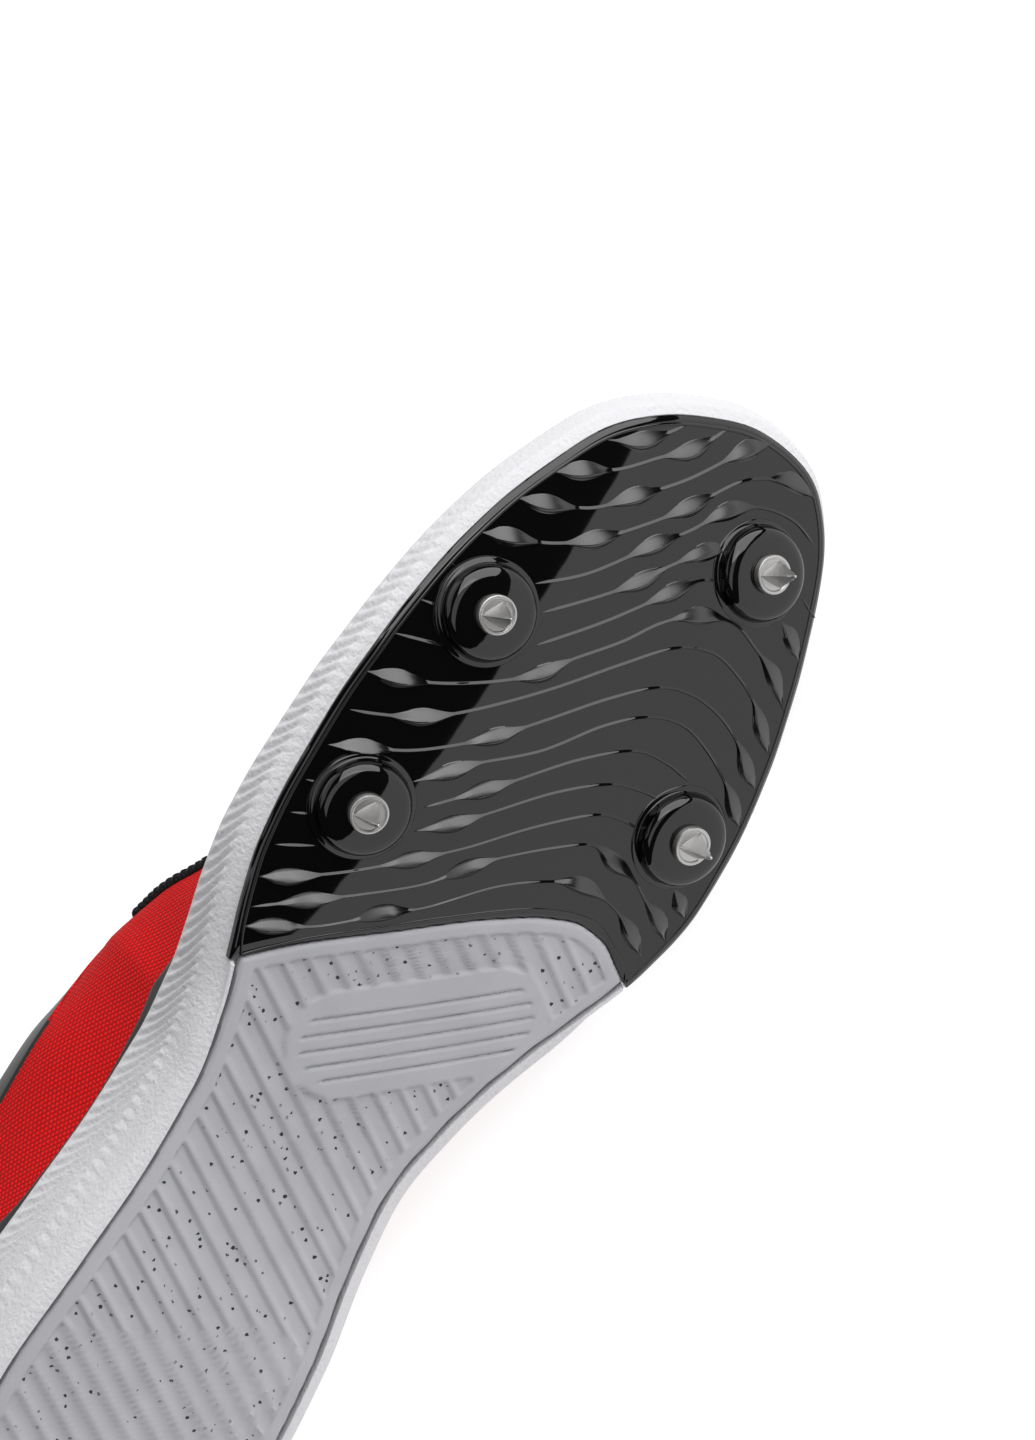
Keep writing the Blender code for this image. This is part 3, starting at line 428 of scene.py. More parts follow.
# radius and height of a boss's outline: domed crown, round shoulder, dark seam, low skirt
bossRows = table("""
    0 4.18 / 3 4.14 / 5.6 4.04 / 7.2 3.87 / 8.2 3.58 / 8.8 3.2 / 9.2 2.68 / 9.48 1.98 / 9.64 1.3 / 9.7 0.8 /
    9.76 0.5 / 9.84 0.34 / 9.98 0.25 / 10.2 0.15 / 10.5 0.05 / 10.7 0 / 10.9 -0.4 / 10.9 -1.2 / 0 -1.2""")
bosses = table("0.796 -0.363 / 0.636 -0.381 / 0.915 0.177 / 0.727 0.31")  # along, aside of ball width

# flow ribs, listed: forward and aside in mm, L where a leaf swells; a slash ends a rib
ribRows = """
    265.5,-25.5 L269,-18.5 276,-11 / 255,-33 L258,-28 262,-21 268,-14 L272,-8.5 280,-2 /
    247,-38 L249,-32 253,-23 L259,-16 267,-7 L278,3 282,8.5 /
    238,-41 L240,-36 243,-28 L248,-20 255,-12 L263,-4 272,4 276,11 L277.5,15.5 277,22 / 230,-44 230,-40 /
    235,-27 242,-18 L253,-8 259,-2 L266,4 270,11 271,19 269,26 / 221,-46 222,-41 /
    231,-23 240,-13 L246,-7 251,-3 L257,3 260,8 / 259,28 257,33 / 213,-47 216,-37 /
    225,-21 236,-10 L247,0 252,5 254,10 / 253,26 L251,30 248,34 /
    204,-48 L206,-42 209,-35 213,-28 217,-22 L221,-17 226,-13 234,-5 241,1 L246,8 248,16 246,23 L243,30 238,36 /
    196,-47 198,-42 L202,-34 208,-26 219,-14 230,-3 238,6 241,14 240,21 237,28 L233,33 229,38 /
    188,-47 L191,-41 195,-33 200,-26 L206,-19 213,-12 223,-2 230,7 232,15 231,23 228,30 L225,34 222,39 /
    180,-47 181,-44 / 190,-29 L196,-23 200,-19 208,-9 218,0 224,8 226,16 224,24 220,32 L217,36 214,40 /
    173,-46 175,-42 / 187,-24 L196,-15 200,-11 210,-1 217,9 218,17 217,24 / 166,-45 170,-38 /
    182,-23 L187,-17 192,-12 202,-2 209,8 211,16 211,21 /
    159,-44 L162,-39 167,-32 171,-27 L177,-20 184,-12 194,-2 202,8 204,14 204,20 /
    153,-42 L160,-33 166,-25 174,-15 L181,-9 186,-4 193,5 197,12 L196,18 195,24 192,30 L190,35 187,39 /
    197,34 L195,37 193,40 /
    149,-41 L152,-36 156,-29 161,-23 L165,-19 170,-12 180,-2 186,7 L189,15 188,24 L185,31 182,36"""


def onBottom(plan, lift):  # a point of the sole's bottom, lift mm away from the foot
    return raised(plan, bottomHeight(plan[..., 0], plan[..., 1]) - lift)


lateralEdge = contour(np.linspace(-pi, 0, 400))[::-1]


def onPlate(plan, lift):  # the same for the plate, which rolls up a little more along its lateral edge
    inwards = plan[..., 1] - np.interp(plan[..., 0], lateralEdge[:, 0], lateralEdge[:, 1])
    roll = plate["rollHigh"] * np.clip(1 - inwards / plate["rollWide"], 0, 1.1) ** 2
    return onBottom(plan, lift - roll * ease(plan[..., 0], 135, 165))


def bossFrame(along, aside):  # a boss's foot and axes, square to the bottom's slope there
    forward, side, step = forwardOf(along), aside * sole["ballWidth"], 0.5
    slopeX = (bottomHeight(forward + step, side) - bottomHeight(forward - step, side)) / (2 * step)
    slopeY = (bottomHeight(forward, side + step) - bottomHeight(forward, side - step)) / (2 * step)
    return np.array([forward, side, bottomHeight(forward, side)]), *axesOn(unit(np.array([slopeX, slopeY, -1])))


def revolved(frameAxes, profile, steps):  # rings of (radius, height) about a boss's axis
    place, ahead, side, down = frameAxes
    angle = roundTurn(steps)
    circle = np.cos(angle)[:, None] * ahead + np.sin(angle)[:, None] * side
    profile = np.array(profile, float)
    return place + profile[:, 0, None, None] * circle + profile[:, 1, None, None] * down


def ribSweep(text):  # crest profile carried along a rib; its half width and height swell at each leaf
    marks = [(mark.startswith("L"), [float(v) for v in mark.lstrip("L").split(",")]) for mark in text.split()]
    knots = np.array([point for _, point in marks])
    path = through(knots, 12 + int(2.5 * norm(np.diff(knots, axis=0), axis=1).sum()))
    run = runAlong(path)
    swell, rise = np.zeros(len(path)), np.zeros(len(path))
    for isLeaf, knot in marks:
        if isLeaf:
            middle = run[np.argmin(norm(path - knot, axis=1))]
            long, late = plate["leafLength"] / 2, plate["leafLate"]  # widest in the middle, highest a bit later
            reach = np.clip(1 - np.abs(run - middle) / long, 0, 1)
            swell = np.maximum(swell, np.sin(reach * pi / 2) ** 1.6)
            past = run - middle - late
            climb = np.clip(1 - np.abs(past) / np.where(past > 0, long - late, long + late), 0, 1)
            rise = np.maximum(rise, np.sin(climb * pi / 2) ** 1.3)
    ends = np.clip(np.minimum(run, run[-1] - run) / 3.0, 0, 1) ** 0.7  # tapers over its last 3 mm
    half = (plate["ridgeHalf"] + (plate["leafHalf"] - plate["ridgeHalf"]) * swell) * (0.15 + 0.85 * ends)
    rear = 1 - ease(path[:, 0], plate["steepUpTo"], plate["plainFrom"])
    leafHigh = plate["leafHigh"] * (1 + plate["rearSteeper"] * rear)
    high = (plate["ridgeHigh"] + (leafHigh - plate["ridgeHigh"]) * rise) * ends
    aside = leftOf(unit(np.gradient(path, axis=0)))
    # a wide shallow face towards the toe, a narrow steep one towards the heel
    shape = np.array([(-1.1, -0.5), (-1, 0), (-0.88, 0.05), (-0.62, 0.25), (-0.1, 0.64), (0.3, 0.94), (0.42, 1),
                      (0.52, 0.92), (0.72, 0.5), (0.9, 0.12), (1, 0), (1.1, -0.5), (0, -0.6)])
    plan = path[:, None] + aside[:, None] * (half[:, None] * shape[:, 0])[..., None]
    lift = np.where(shape[:, 1] > 0, shape[:, 1] * high[:, None], shape[:, 1])
    rings = onPlate(plan, lift)
    heel, toe = (np.repeat(ring.mean(1, keepdims=True), len(shape), 1) for ring in (rings[:1], rings[-1:]))
    satin = np.repeat(np.concatenate([[0], swell, [0]]), len(shape))[:, None] * np.ones(2)
    return np.concatenate([heel, rings, toe]), None, satin


def makePlate():
    plan = layerPlan(True, 0, *plate["grid"])
    away = edgeDistance(plan, True, 0)
    wide = plate["chamferWide"]
    low = onPlate(plan, -plate["chamferHigh"] * (1 - ease(away, -wide, wide)) * 2)
    slab = np.concatenate([low, onBottom(plan, -sole["layer"])])
    shells = [(slab, slabFaces(*plate["grid"]), None)]
    # rolled lip: half-round bead a little inside the border
    across = 120
    loop = borderOf(layerPlan(True, plate["lipIn"], 500, across))
    loop[:across, 0] += plate["lipIn"]  # the rear edge moves in as well
    loop = through(np.concatenate([loop[::12], loop[:1]]), 900)[:-1]
    aside = leftOf(unit(np.roll(loop, -1, 0) - np.roll(loop, 1, 0)))
    turn = roundTurn(8)
    ring = loop[:, None] + aside[:, None] * (plate["lipHalf"] * np.cos(turn))[None, :, None]
    bead = onPlate(ring, np.broadcast_to(plate["lipHigh"] * np.sin(turn), ring.shape[:2]))
    shells.append((bead, gridFaces(*bead.shape[:2], True, True), None))
    shells += [(revolved(bossFrame(*boss), bossRows, 96), None, None) for boss in bosses]
    shells += [ribSweep(text) for text in ribRows.split("/")]
    showPiece(joined("solePlate", shells), [nylonBlack], ["spike_plate"], 50)


makePlate()
print("shoe: plate with flow ribs")

# screw-in spikes

spike = {"flange": 4, "thick": 1.5, "ringIn": 3.35, "groove": 0.28, "base": 3.15, "tip": 0.45, "height": 7.2,
         "cornerRound": 0.28, "tipFrom": 0.75, "tipWide": 0.62}


def triangleRadius(angle, size, rounding):  # a triangle's edge by angle, its corners eased
    sector = np.mod(angle, 2 * pi / 3) - pi / 3
    flat = size * 0.5 / np.cos(sector)
    return 1 / ((1 / flat) ** (1 / rounding) + (1 / size) ** (1 / rounding)) ** rounding * 2 ** rounding


def makeSpike(number, boss):
    place, ahead, side, down = bossFrame(*boss)
    place = place + down * (plate["bossHeight"] + sole["gap"])
    # flange: eased edges and a ring round a shallow groove
    r, t, g, floor = spike["flange"], spike["thick"], spike["ringIn"], spike["thick"] - spike["groove"]
    profile = [(0, -0.2), (r - 0.2, -0.2), (r, 0), (r, t - 0.4), (r - 0.12, t - 0.1), (r - 0.32, t),
               (g + 0.1, t), (g - 0.08, t - 0.06), (g - 0.22, floor), (g - 0.5, floor), (0, floor)]
    flange = revolved((place, ahead, side, down), profile, 64)
    # pyramid: triangles that shrink towards a round tip, the sides bowed in slightly
    angle = roundTurn(72)
    levels = np.linspace(0, 1, 22)[:, None]
    radius = spike["base"] + (spike["tip"] - spike["base"]) * levels ** 0.92
    heights = (floor - 0.1) + (spike["height"] + 0.2) * levels
    blend = ease(levels, spike["tipFrom"], 1.0)
    span = triangleRadius(angle, radius, spike["cornerRound"]) * (1 - blend) + radius * spike["tipWide"] * blend
    span = np.concatenate([span[:1] * 0, span, span[-1:] * 0.5, span[-1:] * 0])
    heights = np.concatenate([heights[:1], heights, heights[-1:] + 0.18, heights[-1:] + 0.25])
    points = span[..., None] * (np.cos(angle)[:, None] * ahead + np.sin(angle)[:, None] * side)
    shells = [(flange, None, None), (place + points + heights[..., None] * down, None, None)]
    showPiece(joined(f"spike{number}", shells), [steel], [f"spike_{number}"], 40)


for number, boss in enumerate(bosses, 1):
    makeSpike(number, boss)
print("shoe: spikes")

midsole = {"columns": 1500, "ribPitch": 3.3, "ribDepth": 0.75, "ribLean": 0.6, "ribBow": 0.06,
           "fadeFrom": 215, "fadeTo": 255, "foot": -0.12, "wallUp": (0, 0.02, 0.08, 0.46, 0.92, 0.97, 1.0),
           "wallOut": (-0.12, 0.12, 0.42, 0.70, 1.0, 0.98, 0.86)}  # the wall's bulge as a share of its flare


def makeMidsole():
    turn, run = evenTurns(midsole["columns"])
    flare, edge = wallFlare(turn), contour(turn)
    plateEnd = forwardOf(np.where(turn < 0, plateRear[0, 1], plateRear[-1, 1]))
    seat = sole["layer"] + sole["gap"]
    lift = seat * ease(edge[:, 0], plateEnd - 0.6, plateEnd - 0.2)
    rings = []
    inner = offsetContour(turn, -sole["foamRim"])
    for share in (0, 0.5, 0.94, 1):
        plan = towardsSpine(inner, turn, share)
        rings.append(raised(plan, bottomHeight(plan[:, 0], plan[:, 1]) + seat))
    rings.append(raised(inner, bottomHeight(inner[:, 0], inner[:, 1]) + lift))
    floorLine = bottomHeight(edge[:, 0], edge[:, 1])
    top = dishHeight(edge[:, 0]) + sole["dish"]
    tall, wall = top - floorLine, (midsole["wallUp"], midsole["wallOut"])
    startShare, seatShare = lift / tall, seat / tall
    tuckFoot = (np.interp(seatShare, *wall) - midsole["foot"]) * ease(edge[:, 0], plateEnd - 20, plateEnd)
    fade = 1 - ease(edge[:, 0], midsole["fadeFrom"], midsole["fadeTo"])
    ups = np.concatenate([[0, 0.015, 0.04, 0.08, 0.14, 0.22, 0.31, 0.40], np.linspace(0.46, 0.90, 20),
                          [0.93, 0.96, 0.985, 1.0]])
    for count, up in enumerate(ups):
        share = np.maximum(up, startShare + 0.003 * count)  # the step behind the plate keeps to the wall's foot
        out = np.interp(share, *wall) - tuckFoot * (1 - ease(share - seatShare, 0, 0.16))
        push = np.maximum(out, midsole["foot"]) * flare + sole["ledge"] * ease(share, 0.42, 0.50)
        down = (1 - share) * tall  # mm below the top edge
        lean = np.where(turn < 0, 1, -1) * (midsole["ribLean"] * down + midsole["ribBow"] * down ** 2)
        wave = 0.5 + 0.5 * np.sin(2 * pi * (run + lean) / midsole["ribPitch"])
        zone = ease(share, 0.32, 0.55) * (1 - ease(share, 0.84, 0.97))
        push = push + midsole["ribDepth"] * (wave ** 0.7 - 0.6) * zone * fade  # ribs wider than their grooves
        rings.append(raised(offsetContour(turn, push), floorLine + share * tall))
    inside = offsetContour(turn, flare - sole["rim"])
    rings.append(raised(offsetContour(turn, flare - sole["rim"] * 0.5), top + 0.05))
    rings.append(raised(inside, top - 0.1))
    for share in (1, 0.9, 0):
        plan = towardsSpine(inside, turn, share)
        rings.append(raised(plan, dishHeight(plan[:, 0])))
    points = np.array(rings)
    mesh = makeMesh("midsoleFoam", points, tubeFaces(points))
    showPiece(mesh, [foamWhite], ["midsole"], 45)


makeMidsole()
print("shoe: midsole")

outsole = {"inset": 2.25, "stripePitch": 4.7, "stripeTurn": -31, "stripeDeep": 0.65, "ridgeHalf": 0.62,
           "panelPitch": 3.36, "panelTurn": 36.4, "grooveDeep": 0.75, "grooveHalf": 0.5,
           "panelMiddle": (147.0, 3.0), "panelHalf": (27.0, 11.5), "panelLean": 53.6, "margin": 3,
           "edgeRound": 0.9}


def makeOutsole():
    rows = np.concatenate([np.linspace(0, 0.6, 90, endpoint=False), np.linspace(0.6, 1, 210)])  # finer in front
    plan = layerPlan(False, outsole["inset"], rows, 150)
    away = edgeDistance(plan, False, outsole["inset"])
    lean = radians(outsole["panelLean"])
    x, y = np.moveaxis(plan - outsole["panelMiddle"], -1, 0)
    along, across = x * np.cos(lean) + y * np.sin(lean), y * np.cos(lean) - x * np.sin(lean)
    long, half = outsole["panelHalf"]
    panel = np.hypot(np.maximum(np.abs(along) - (long - half), 0), across) - half  # mm outside a stadium's edge

    def fromLine(turnDeg, pitch):  # mm to the nearest of evenly spaced parallel lines
        a = radians(turnDeg)
        off = plan[..., 0] * np.cos(a) - plan[..., 1] * np.sin(a)
        return np.abs(np.mod(off, pitch) - pitch / 2)

    offRidge = fromLine(outsole["stripeTurn"], outsole["stripePitch"]) - outsole["ridgeHalf"]
    hollow = ease(offRidge, -0.25, 0.45) * ease(panel, 0.0, 0.7) * ease(away - outsole["margin"], -0.4, 0.3)
    line = fromLine(outsole["panelTurn"], outsole["panelPitch"])
    groove = np.clip(1 - line / outsole["grooveHalf"], 0, 1) * ease(-panel, 2.6, 3.0)
    depth = outsole["stripeDeep"] * hollow + outsole["grooveDeep"] * groove
    r = outsole["edgeRound"]
    roundOff = r * (1 - np.sqrt(np.clip(1 - (1 - np.clip(away / r, 0, 1)) ** 2, 0, 1)))  # quarter circle
    points = np.concatenate([onBottom(plan, -roundOff - depth), onBottom(plan, -sole["layer"])])
    marks = np.stack([hollow, groove], -1)
    mesh = makeMesh("rearOutsole", points, slabFaces(*plan.shape[:2]), np.concatenate([marks, marks * 0]))
    showPiece(mesh, [foamGrey], ["rear_outsole"], 50)


makeOutsole()
print("shoe: rear outsole")

# upper: a cubic from its foot in the dish to the opening edge, at each angle

upper = {"heelHeight": 97, "instepHeight": 92, "wall": 1.8, "overlay": 0.5, "pad": 2.4, "tuckIn": 0.6,
         "quarterFoot": 191, "quarterRise": 0.786, "columns": 460, "rows": (14, 62, 18), "liningRows": 34,
         # place, depth and width of each
         "creases": ((172.0, 0.6, 3.2), (184.0, 0.8, 3.0), (196.0, 0.7, 3.4), (209.0, 0.45, 4.0))}
openingNames = "along forward centre aside up low high lean foxing eyestay pad".split()
openingRows = table("""
    0 0.04 -0.02 0 1 0.42 0.42 74 0.46 0.9 1 / 0.04 0.05 -0.02 0.16 0.985 0.42 0.42 75 0.45 0.9 1 /
    0.1 0.092 -0.02 0.28 0.905 0.42 0.38 78 0.4 0.89 1 / 0.17 0.155 -0.027 0.335 0.79 0.42 0.35 84 0.3 0.87 1 /
    0.26 0.25 -0.035 0.345 0.73 0.42 0.35 80 0.17 0.84 1 / 0.34 0.33 -0.045 0.325 0.76 0.45 0.38 68 0.14 0.83 1 /
    0.4 0.376 -0.035 0.25 0.86 0.5 0.42 52 0.13 0.82 0.6 / 0.44 0.402 -0.02 0.18 0.975 0.55 0.45 42 0.125 0.81 0.2 /
    0.48 0.44 -0.005 0.155 0.915 0.6 0.5 38 0.12 0.8 0 / 0.53 0.485 0.005 0.142 0.815 0.5 0.38 34 0.11 0.8 0 /
    0.58 0.53 0.015 0.134 0.74 0.44 0.3 31 0.11 0.8 0 / 0.63 0.578 0.02 0.126 0.68 0.42 0.3 28 0.11 0.8 0 /
    0.69 0.625 0.03 0.116 0.64 0.43 0.34 25 0.11 0.81 0 / 0.74 0.655 0.03 0.104 0.618 0.46 0.4 22 0.13 0.82 0 /
    0.8 0.677 0.03 0.082 0.602 0.44 0.44 19 0.17 0.84 0 / 0.86 0.689 0.03 0.056 0.594 0.41 0.47 16 0.24 0.86 0 /
    0.91 0.694 0.03 0.034 0.59 0.37 0.52 15 0.3 0.87 0 / 0.945 0.696 0.03 0.02 0.588 0.34 0.53 14 0.34 0.88 0 /
    0.975 0.697 0.03 0.01 0.588 0.32 0.54 13 0.36 0.88 0 / 1 0.6975 0.03 0 0.588 0.31 0.54 13 0.37 0.88 0""")
openingSize = np.where(openingRows[:, 0] < 0.42, upper["heelHeight"], upper["instepHeight"])


def openingAt(turn, name):
    column = openingRows[:, openingNames.index(name)]
    if name == "up":
        column = column * openingSize
    return smoothCurve(openingRows[:, 0], column, shareOf(turn))


def section(turn, v):  # cubic Bezier: foot, a point straight above it, a point along the opening's slope, edge
    side = np.where(turn < 0, -1.0, 1.0)
    flare = wallFlare(turn)
    foot = offsetContour(turn, flare - sole["rim"] - sole["gap"] - upper["overlay"])
    foot = raised(foot, dishHeight(foot[..., 0]) + sole["gap"])
    edge = np.stack([openingAt(turn, "forward") * sole["length"],
                     sole["ballWidth"] * (openingAt(turn, "centre") + side * openingAt(turn, "aside")),
                     openingAt(turn, "up")], -1)
    reach = norm(foot - edge, axis=-1)
    out = unit(foot[..., :2] - edge[..., :2])
    wall = unit(offsetContour(turn, flare) - contour(turn))
    leanDeg = openingAt(turn, "lean")
    steep = np.clip((leanDeg - 40) / 40, 0, 1)[..., None]  # 1 from 80 degrees up
    away = unit(wall * steep + out * (1 - steep))
    inward = upper["tuckIn"] * (1 - np.clip((leanDeg - 31) / 12, 0, 1))  # low walls tuck in
    low = foot + raised(-wall * inward[..., None], 1.0) * (reach * openingAt(turn, "low"))[..., None]
    slope = raised(away * np.cos(np.radians(leanDeg))[..., None], -np.sin(np.radians(leanDeg)))
    high = edge + slope * (reach * openingAt(turn, "high"))[..., None]
    v = np.asarray(v)[..., None]
    return (1 - v) ** 3 * foot + 3 * v * (1 - v) ** 2 * low + 3 * v ** 2 * (1 - v) * high + v ** 3 * edge


def surfaceAt(turn, v):  # a point of the upper and its outward normal
    turn, v = np.broadcast_arrays(np.asarray(turn, float), np.asarray(v, float))
    point, step = section(turn, v), 0.012
    along = section(wrapTurn(turn + step), v) - section(wrapTurn(turn - step), v)
    up = section(turn, np.clip(v + step, 0, 1)) - section(turn, np.clip(v - step, 0, 1))
    return point, unit(np.cross(up, along))


def thickness(turn, v):  # mm of the upper's wall, padded towards the collar
    pad = upper["pad"] * openingAt(turn, "pad") * ease(v, 0.55, 0.80)
    return upper["wall"] + pad * (1 - 0.5 * np.clip((v - 0.9) / 0.1, 0, 1))


def rimHeight(point):  # mm above the midsole's top edge
    return point[..., 2] - (dishHeight(point[..., 0]) + sole["dish"])


def quarterLine(point):  # below zero in the red quarter, behind a line that rises towards the collar
    return point[..., 0] - (upper["quarterFoot"] - rimHeight(point) / upper["quarterRise"])


def makeUpper():
    turn = evenTurns(upper["columns"])[0]
    foxing, eyestay = openingAt(turn, "foxing"), openingAt(turn, "eyestay")
    e = 0.005  # half of a step's share of the height
    bands = ((0 * turn, foxing - e, 1), (foxing + e, eyestay - e, 0), (eyestay + e, 0 * turn + 1, 1))
    v = np.concatenate([np.linspace(low, high, rows) for (low, high, _), rows in zip(bands, upper["rows"])])
    proud = np.repeat([band[2] for band in bands], upper["rows"])
    point, normal = surfaceAt(turn, v)
    lift = upper["overlay"] * proud[:, None]
    top = ease(normal[..., 2], 0.15, 0.6)
    for forward, depth, width in upper["creases"]:
        bow = 0.004 * (point[..., 1] - 3) ** 2
        lift = lift - depth * top * np.exp(-((point[..., 0] + bow - forward) / width) ** 2)
    outer = point + normal * lift[..., None]
    innerV = np.linspace(1, 0, upper["liningRows"])[:, None]
    innerPoint, innerNormal = surfaceAt(turn, innerV)
    inner = innerPoint - innerNormal * thickness(turn, innerV)[..., None]
    inner[-1, :, 2] = np.maximum(inner[-1, :, 2], dishHeight(inner[-1, :, 0]) + sole["gap"])
    middle, half = (outer[-1] + inner[0]) / 2, (outer[-1] - inner[0]) / 2
    rise = unit(outer[-1] - outer[-3])
    rolled = [middle + half * np.cos(a) + rise * norm(half, axis=-1, keepdims=True) * np.sin(a) * 0.9
              for a in np.linspace(0, pi, 8)[1:-1]]
    points = np.concatenate([outer, np.array(rolled), inner])
    across = runAlong(contour(turn))
    upwards = np.cumsum(norm(np.diff(points, axis=0, prepend=points[:1]), axis=-1), 0)
    uv = np.stack([np.broadcast_to(across, upwards.shape), upwards], -1)
    mesh = makeMesh("upperShell", points, gridFaces(*points.shape[:2], True, True), uv)
    showPiece(mesh, [blackCloth, redCloth, filmBlack, liningCloth], ["upper"], 60)
    # each face's material by its height: film on the foxing band, cloth, film on the eyestay, lining inside
    polygons = mesh.polygons
    centres, first, corners = np.empty(len(polygons) * 3), *np.empty((2, len(polygons)), int)
    polygons.foreach_get("center", centres)
    polygons.foreach_get("loop_start", first)
    polygons.foreach_get("loop_total", corners)
    uvs = np.empty(len(mesh.loops) * 2)
    mesh.uv_layers["surface"].data.foreach_get("uv", uvs)
    acrossAt, upAt = uvs.reshape(-1, 2).T
    column = np.rint(np.interp(acrossAt[first], across, np.arange(len(turn)))).astype(int)
    height = np.add.reduceat(upAt, first) / corners
    band = (height >= upwards[np.cumsum(upper["rows"]) - 1][:, column]).sum(0)
    kind = np.array([2, 0, 2, 3])[band]
    upright = (centres.reshape(-1, 3) / mm - restPose["moveMm"]) @ layDown
    kind[(kind == 0) & (quarterLine(upright) < 0)] = 1  # the quarter is red
    polygons.foreach_set("material_index", kind)


makeUpper()
print("shoe: upper")

# scalloped cord along the quarter's front edge

tube = {"end": 0.001}  # a tube's last ring is merged to a point
cordEdge = {"radius": 0.95, "bump": 0.45, "pitch": 2.5, "from": 1, "to": 50, "clear": 0.35}


def sweptTube(path, wide, thick, angle, run, around, square=1.0):  # half axes carried along a path, UV in mm
    across, up = (np.sign(f(angle)) * np.abs(f(angle)) ** square for f in (np.cos, np.sin))
    rings = path[:, None] + across[:, None] * wide[:, None] + up[:, None] * thick[:, None]
    return rings, None, np.stack(np.broadcast_arrays(run[:, None], around), -1)


def makeEdgeCord():
    shells = []
    for side in (-1, 1):
        knots = []
        for height in np.linspace(cordEdge["from"], cordEdge["to"], 16):
            forward = upper["quarterFoot"] - height / upper["quarterRise"]
            low, high = 0.0, 1.0
            turn = side * angleOf(shareAt(forward))
            for _ in range(30):  # halve v, and step round, until the surface point lies on the line
                v = (low + high) / 2
                point = section(turn, v)
                turn = np.clip(side * turn + (forward - point[0]) * 0.004, 0.2, 3.0) * side
                low, high = (v, high) if rimHeight(point) < height else (low, v)
            if v > 0.985:  # the line has reached the collar
                break
            point, normal = surfaceAt(turn, v)
            knots.append(point + normal * cordEdge["clear"])
        path = through(knots, 420)
        run = runAlong(path)
        along = unit(np.gradient(path, axis=0))
        out = unit(np.cross(along, [0, 0, 1.0]))
        radius = cordEdge["radius"] + cordEdge["bump"] * np.abs(np.sin(pi * run / cordEdge["pitch"]))
        radius[[0, -1]] = tube["end"]
        angle = roundTurn(12)
        around = angle * cordEdge["radius"]
        across, up = out * radius[:, None], np.cross(out, along) * radius[:, None]
        shells.append(sweptTube(path, across, up, angle, run, around))
    showPiece(joined("quarterCord", shells), [laceCloth], (), 80)


makeEdgeCord()

# tongue, insole, laces, eyelets

tongue = {"thick": 3.5, "crown": 2, "reach": 26, "top": 0.455, "tuck": 0.14, "long": 125, "wide": 40}
eyelets = {"along": (0.46, 0.505, 0.55, 0.60, 0.655, 0.71), "row": 0.91, "hole": 2, "ring": 3.2, "high": 0.55}
lace = {"width": 6, "thick": 1.2}


def makeTongue():
    angles = np.linspace(angleOf(tongue["top"]), pi - 0.001, 70)
    crown = np.linspace(0, 1, 16)[1:-1, None]
    tops, lows = [], []
    for angle in angles:  # both sides tucked under the eyestay, a parabola between them
        tuck = np.clip((angle - angles[0]) / 0.25, 0.1, 1)
        under = 1 - tongue["tuck"] * tuck * np.array([1, 0.5, 0])
        sides = []
        for turn in (-angle, angle):
            point, normal = surfaceAt(turn, under)
            sides.append((point - normal * (thickness(turn, under) + 4 * sole["gap"])[:, None], normal))
        (left, leftN), (right, rightN) = sides[0], (sides[1][0][::-1], sides[1][1][::-1])
        span = right[0] - left[-1]
        rise = min(tongue["crown"], 0.12 * norm(span))
        middle = left[-1] + span * crown + unit(leftN[-1] + rightN[0]) * (4 * rise * crown * (1 - crown))
        blend = leftN[-1] + (rightN[0] - leftN[-1]) * crown
        normals = unit(np.concatenate([leftN, blend, rightN]))
        top = np.concatenate([left, middle, right])
        tops.append(top)
        lows.append(top - normals * tongue["thick"])
    along = unit(tops[0].mean(0) - tops[4].mean(0))
    baseTop, baseLow = tops[0], lows[0]
    for share in np.linspace(0.06, 1, 18):  # the free end stands up and grows narrower and thinner
        way = unit(np.array(Vector(along).lerp(Vector((-0.1, 0, 0.995)), 0.3 + 0.5 * share)))
        narrow = 1 - 0.06 * share - 0.30 * ease(share, 0.8, 1.0)
        thin = 1 - 0.7 * ease(share, 0.9, 1.0)
        for grid, base, other in ((tops, baseTop, baseLow), (lows, baseLow, baseTop)):
            mean = base.mean(0)
            shape = mean + (base - mean) * np.array([1, narrow, 1]) + way * tongue["reach"] * share
            grid.insert(0, shape + (other - base) * (1 - thin) / 2)
    rows, columns = len(tops), len(top)
    uv = np.stack(np.broadcast_arrays(np.linspace(0, tongue["long"], rows)[:, None],
                                      np.linspace(0, tongue["wide"], columns)), -1)
    mesh = makeMesh("tonguePad", np.array(lows + tops), slabFaces(rows, columns), np.concatenate([uv, uv]))
    showPiece(mesh, [liningCloth], ["tongue"], 60)


def makeInsole():
    turn = evenTurns(420)[0]
    base = wallFlare(turn) - sole["rim"] - upper["overlay"] - upper["wall"] - 3 * sole["gap"]
    rings = []
    for taper, share, up in ((0, 0, 0), (0, 1, 0), (1.4, 1, 2.6), (2.3, 1, 3.6), (3.2, 1, 4.0),
                             (3.2, 0.93, 3.6), (3.2, 0.8, 3.1), (3.2, 0.4, 2.9), (3.2, 0, 2.8)):
        plan = towardsSpine(offsetContour(turn, base - taper), turn, share)
        rings.append(raised(plan, dishHeight(plan[:, 0]) + sole["gap"] + up))
    points = np.array(rings)
    mesh = makeMesh("sockliner", points, tubeFaces(points), points[..., :2])
    showPiece(mesh, [liningCloth], ["insole"], 50)


def eyeletPlace(along, side):
    point, normal = surfaceAt(side * angleOf(along), eyelets["row"])
    return point + normal * upper["overlay"], *axesOn(normal)


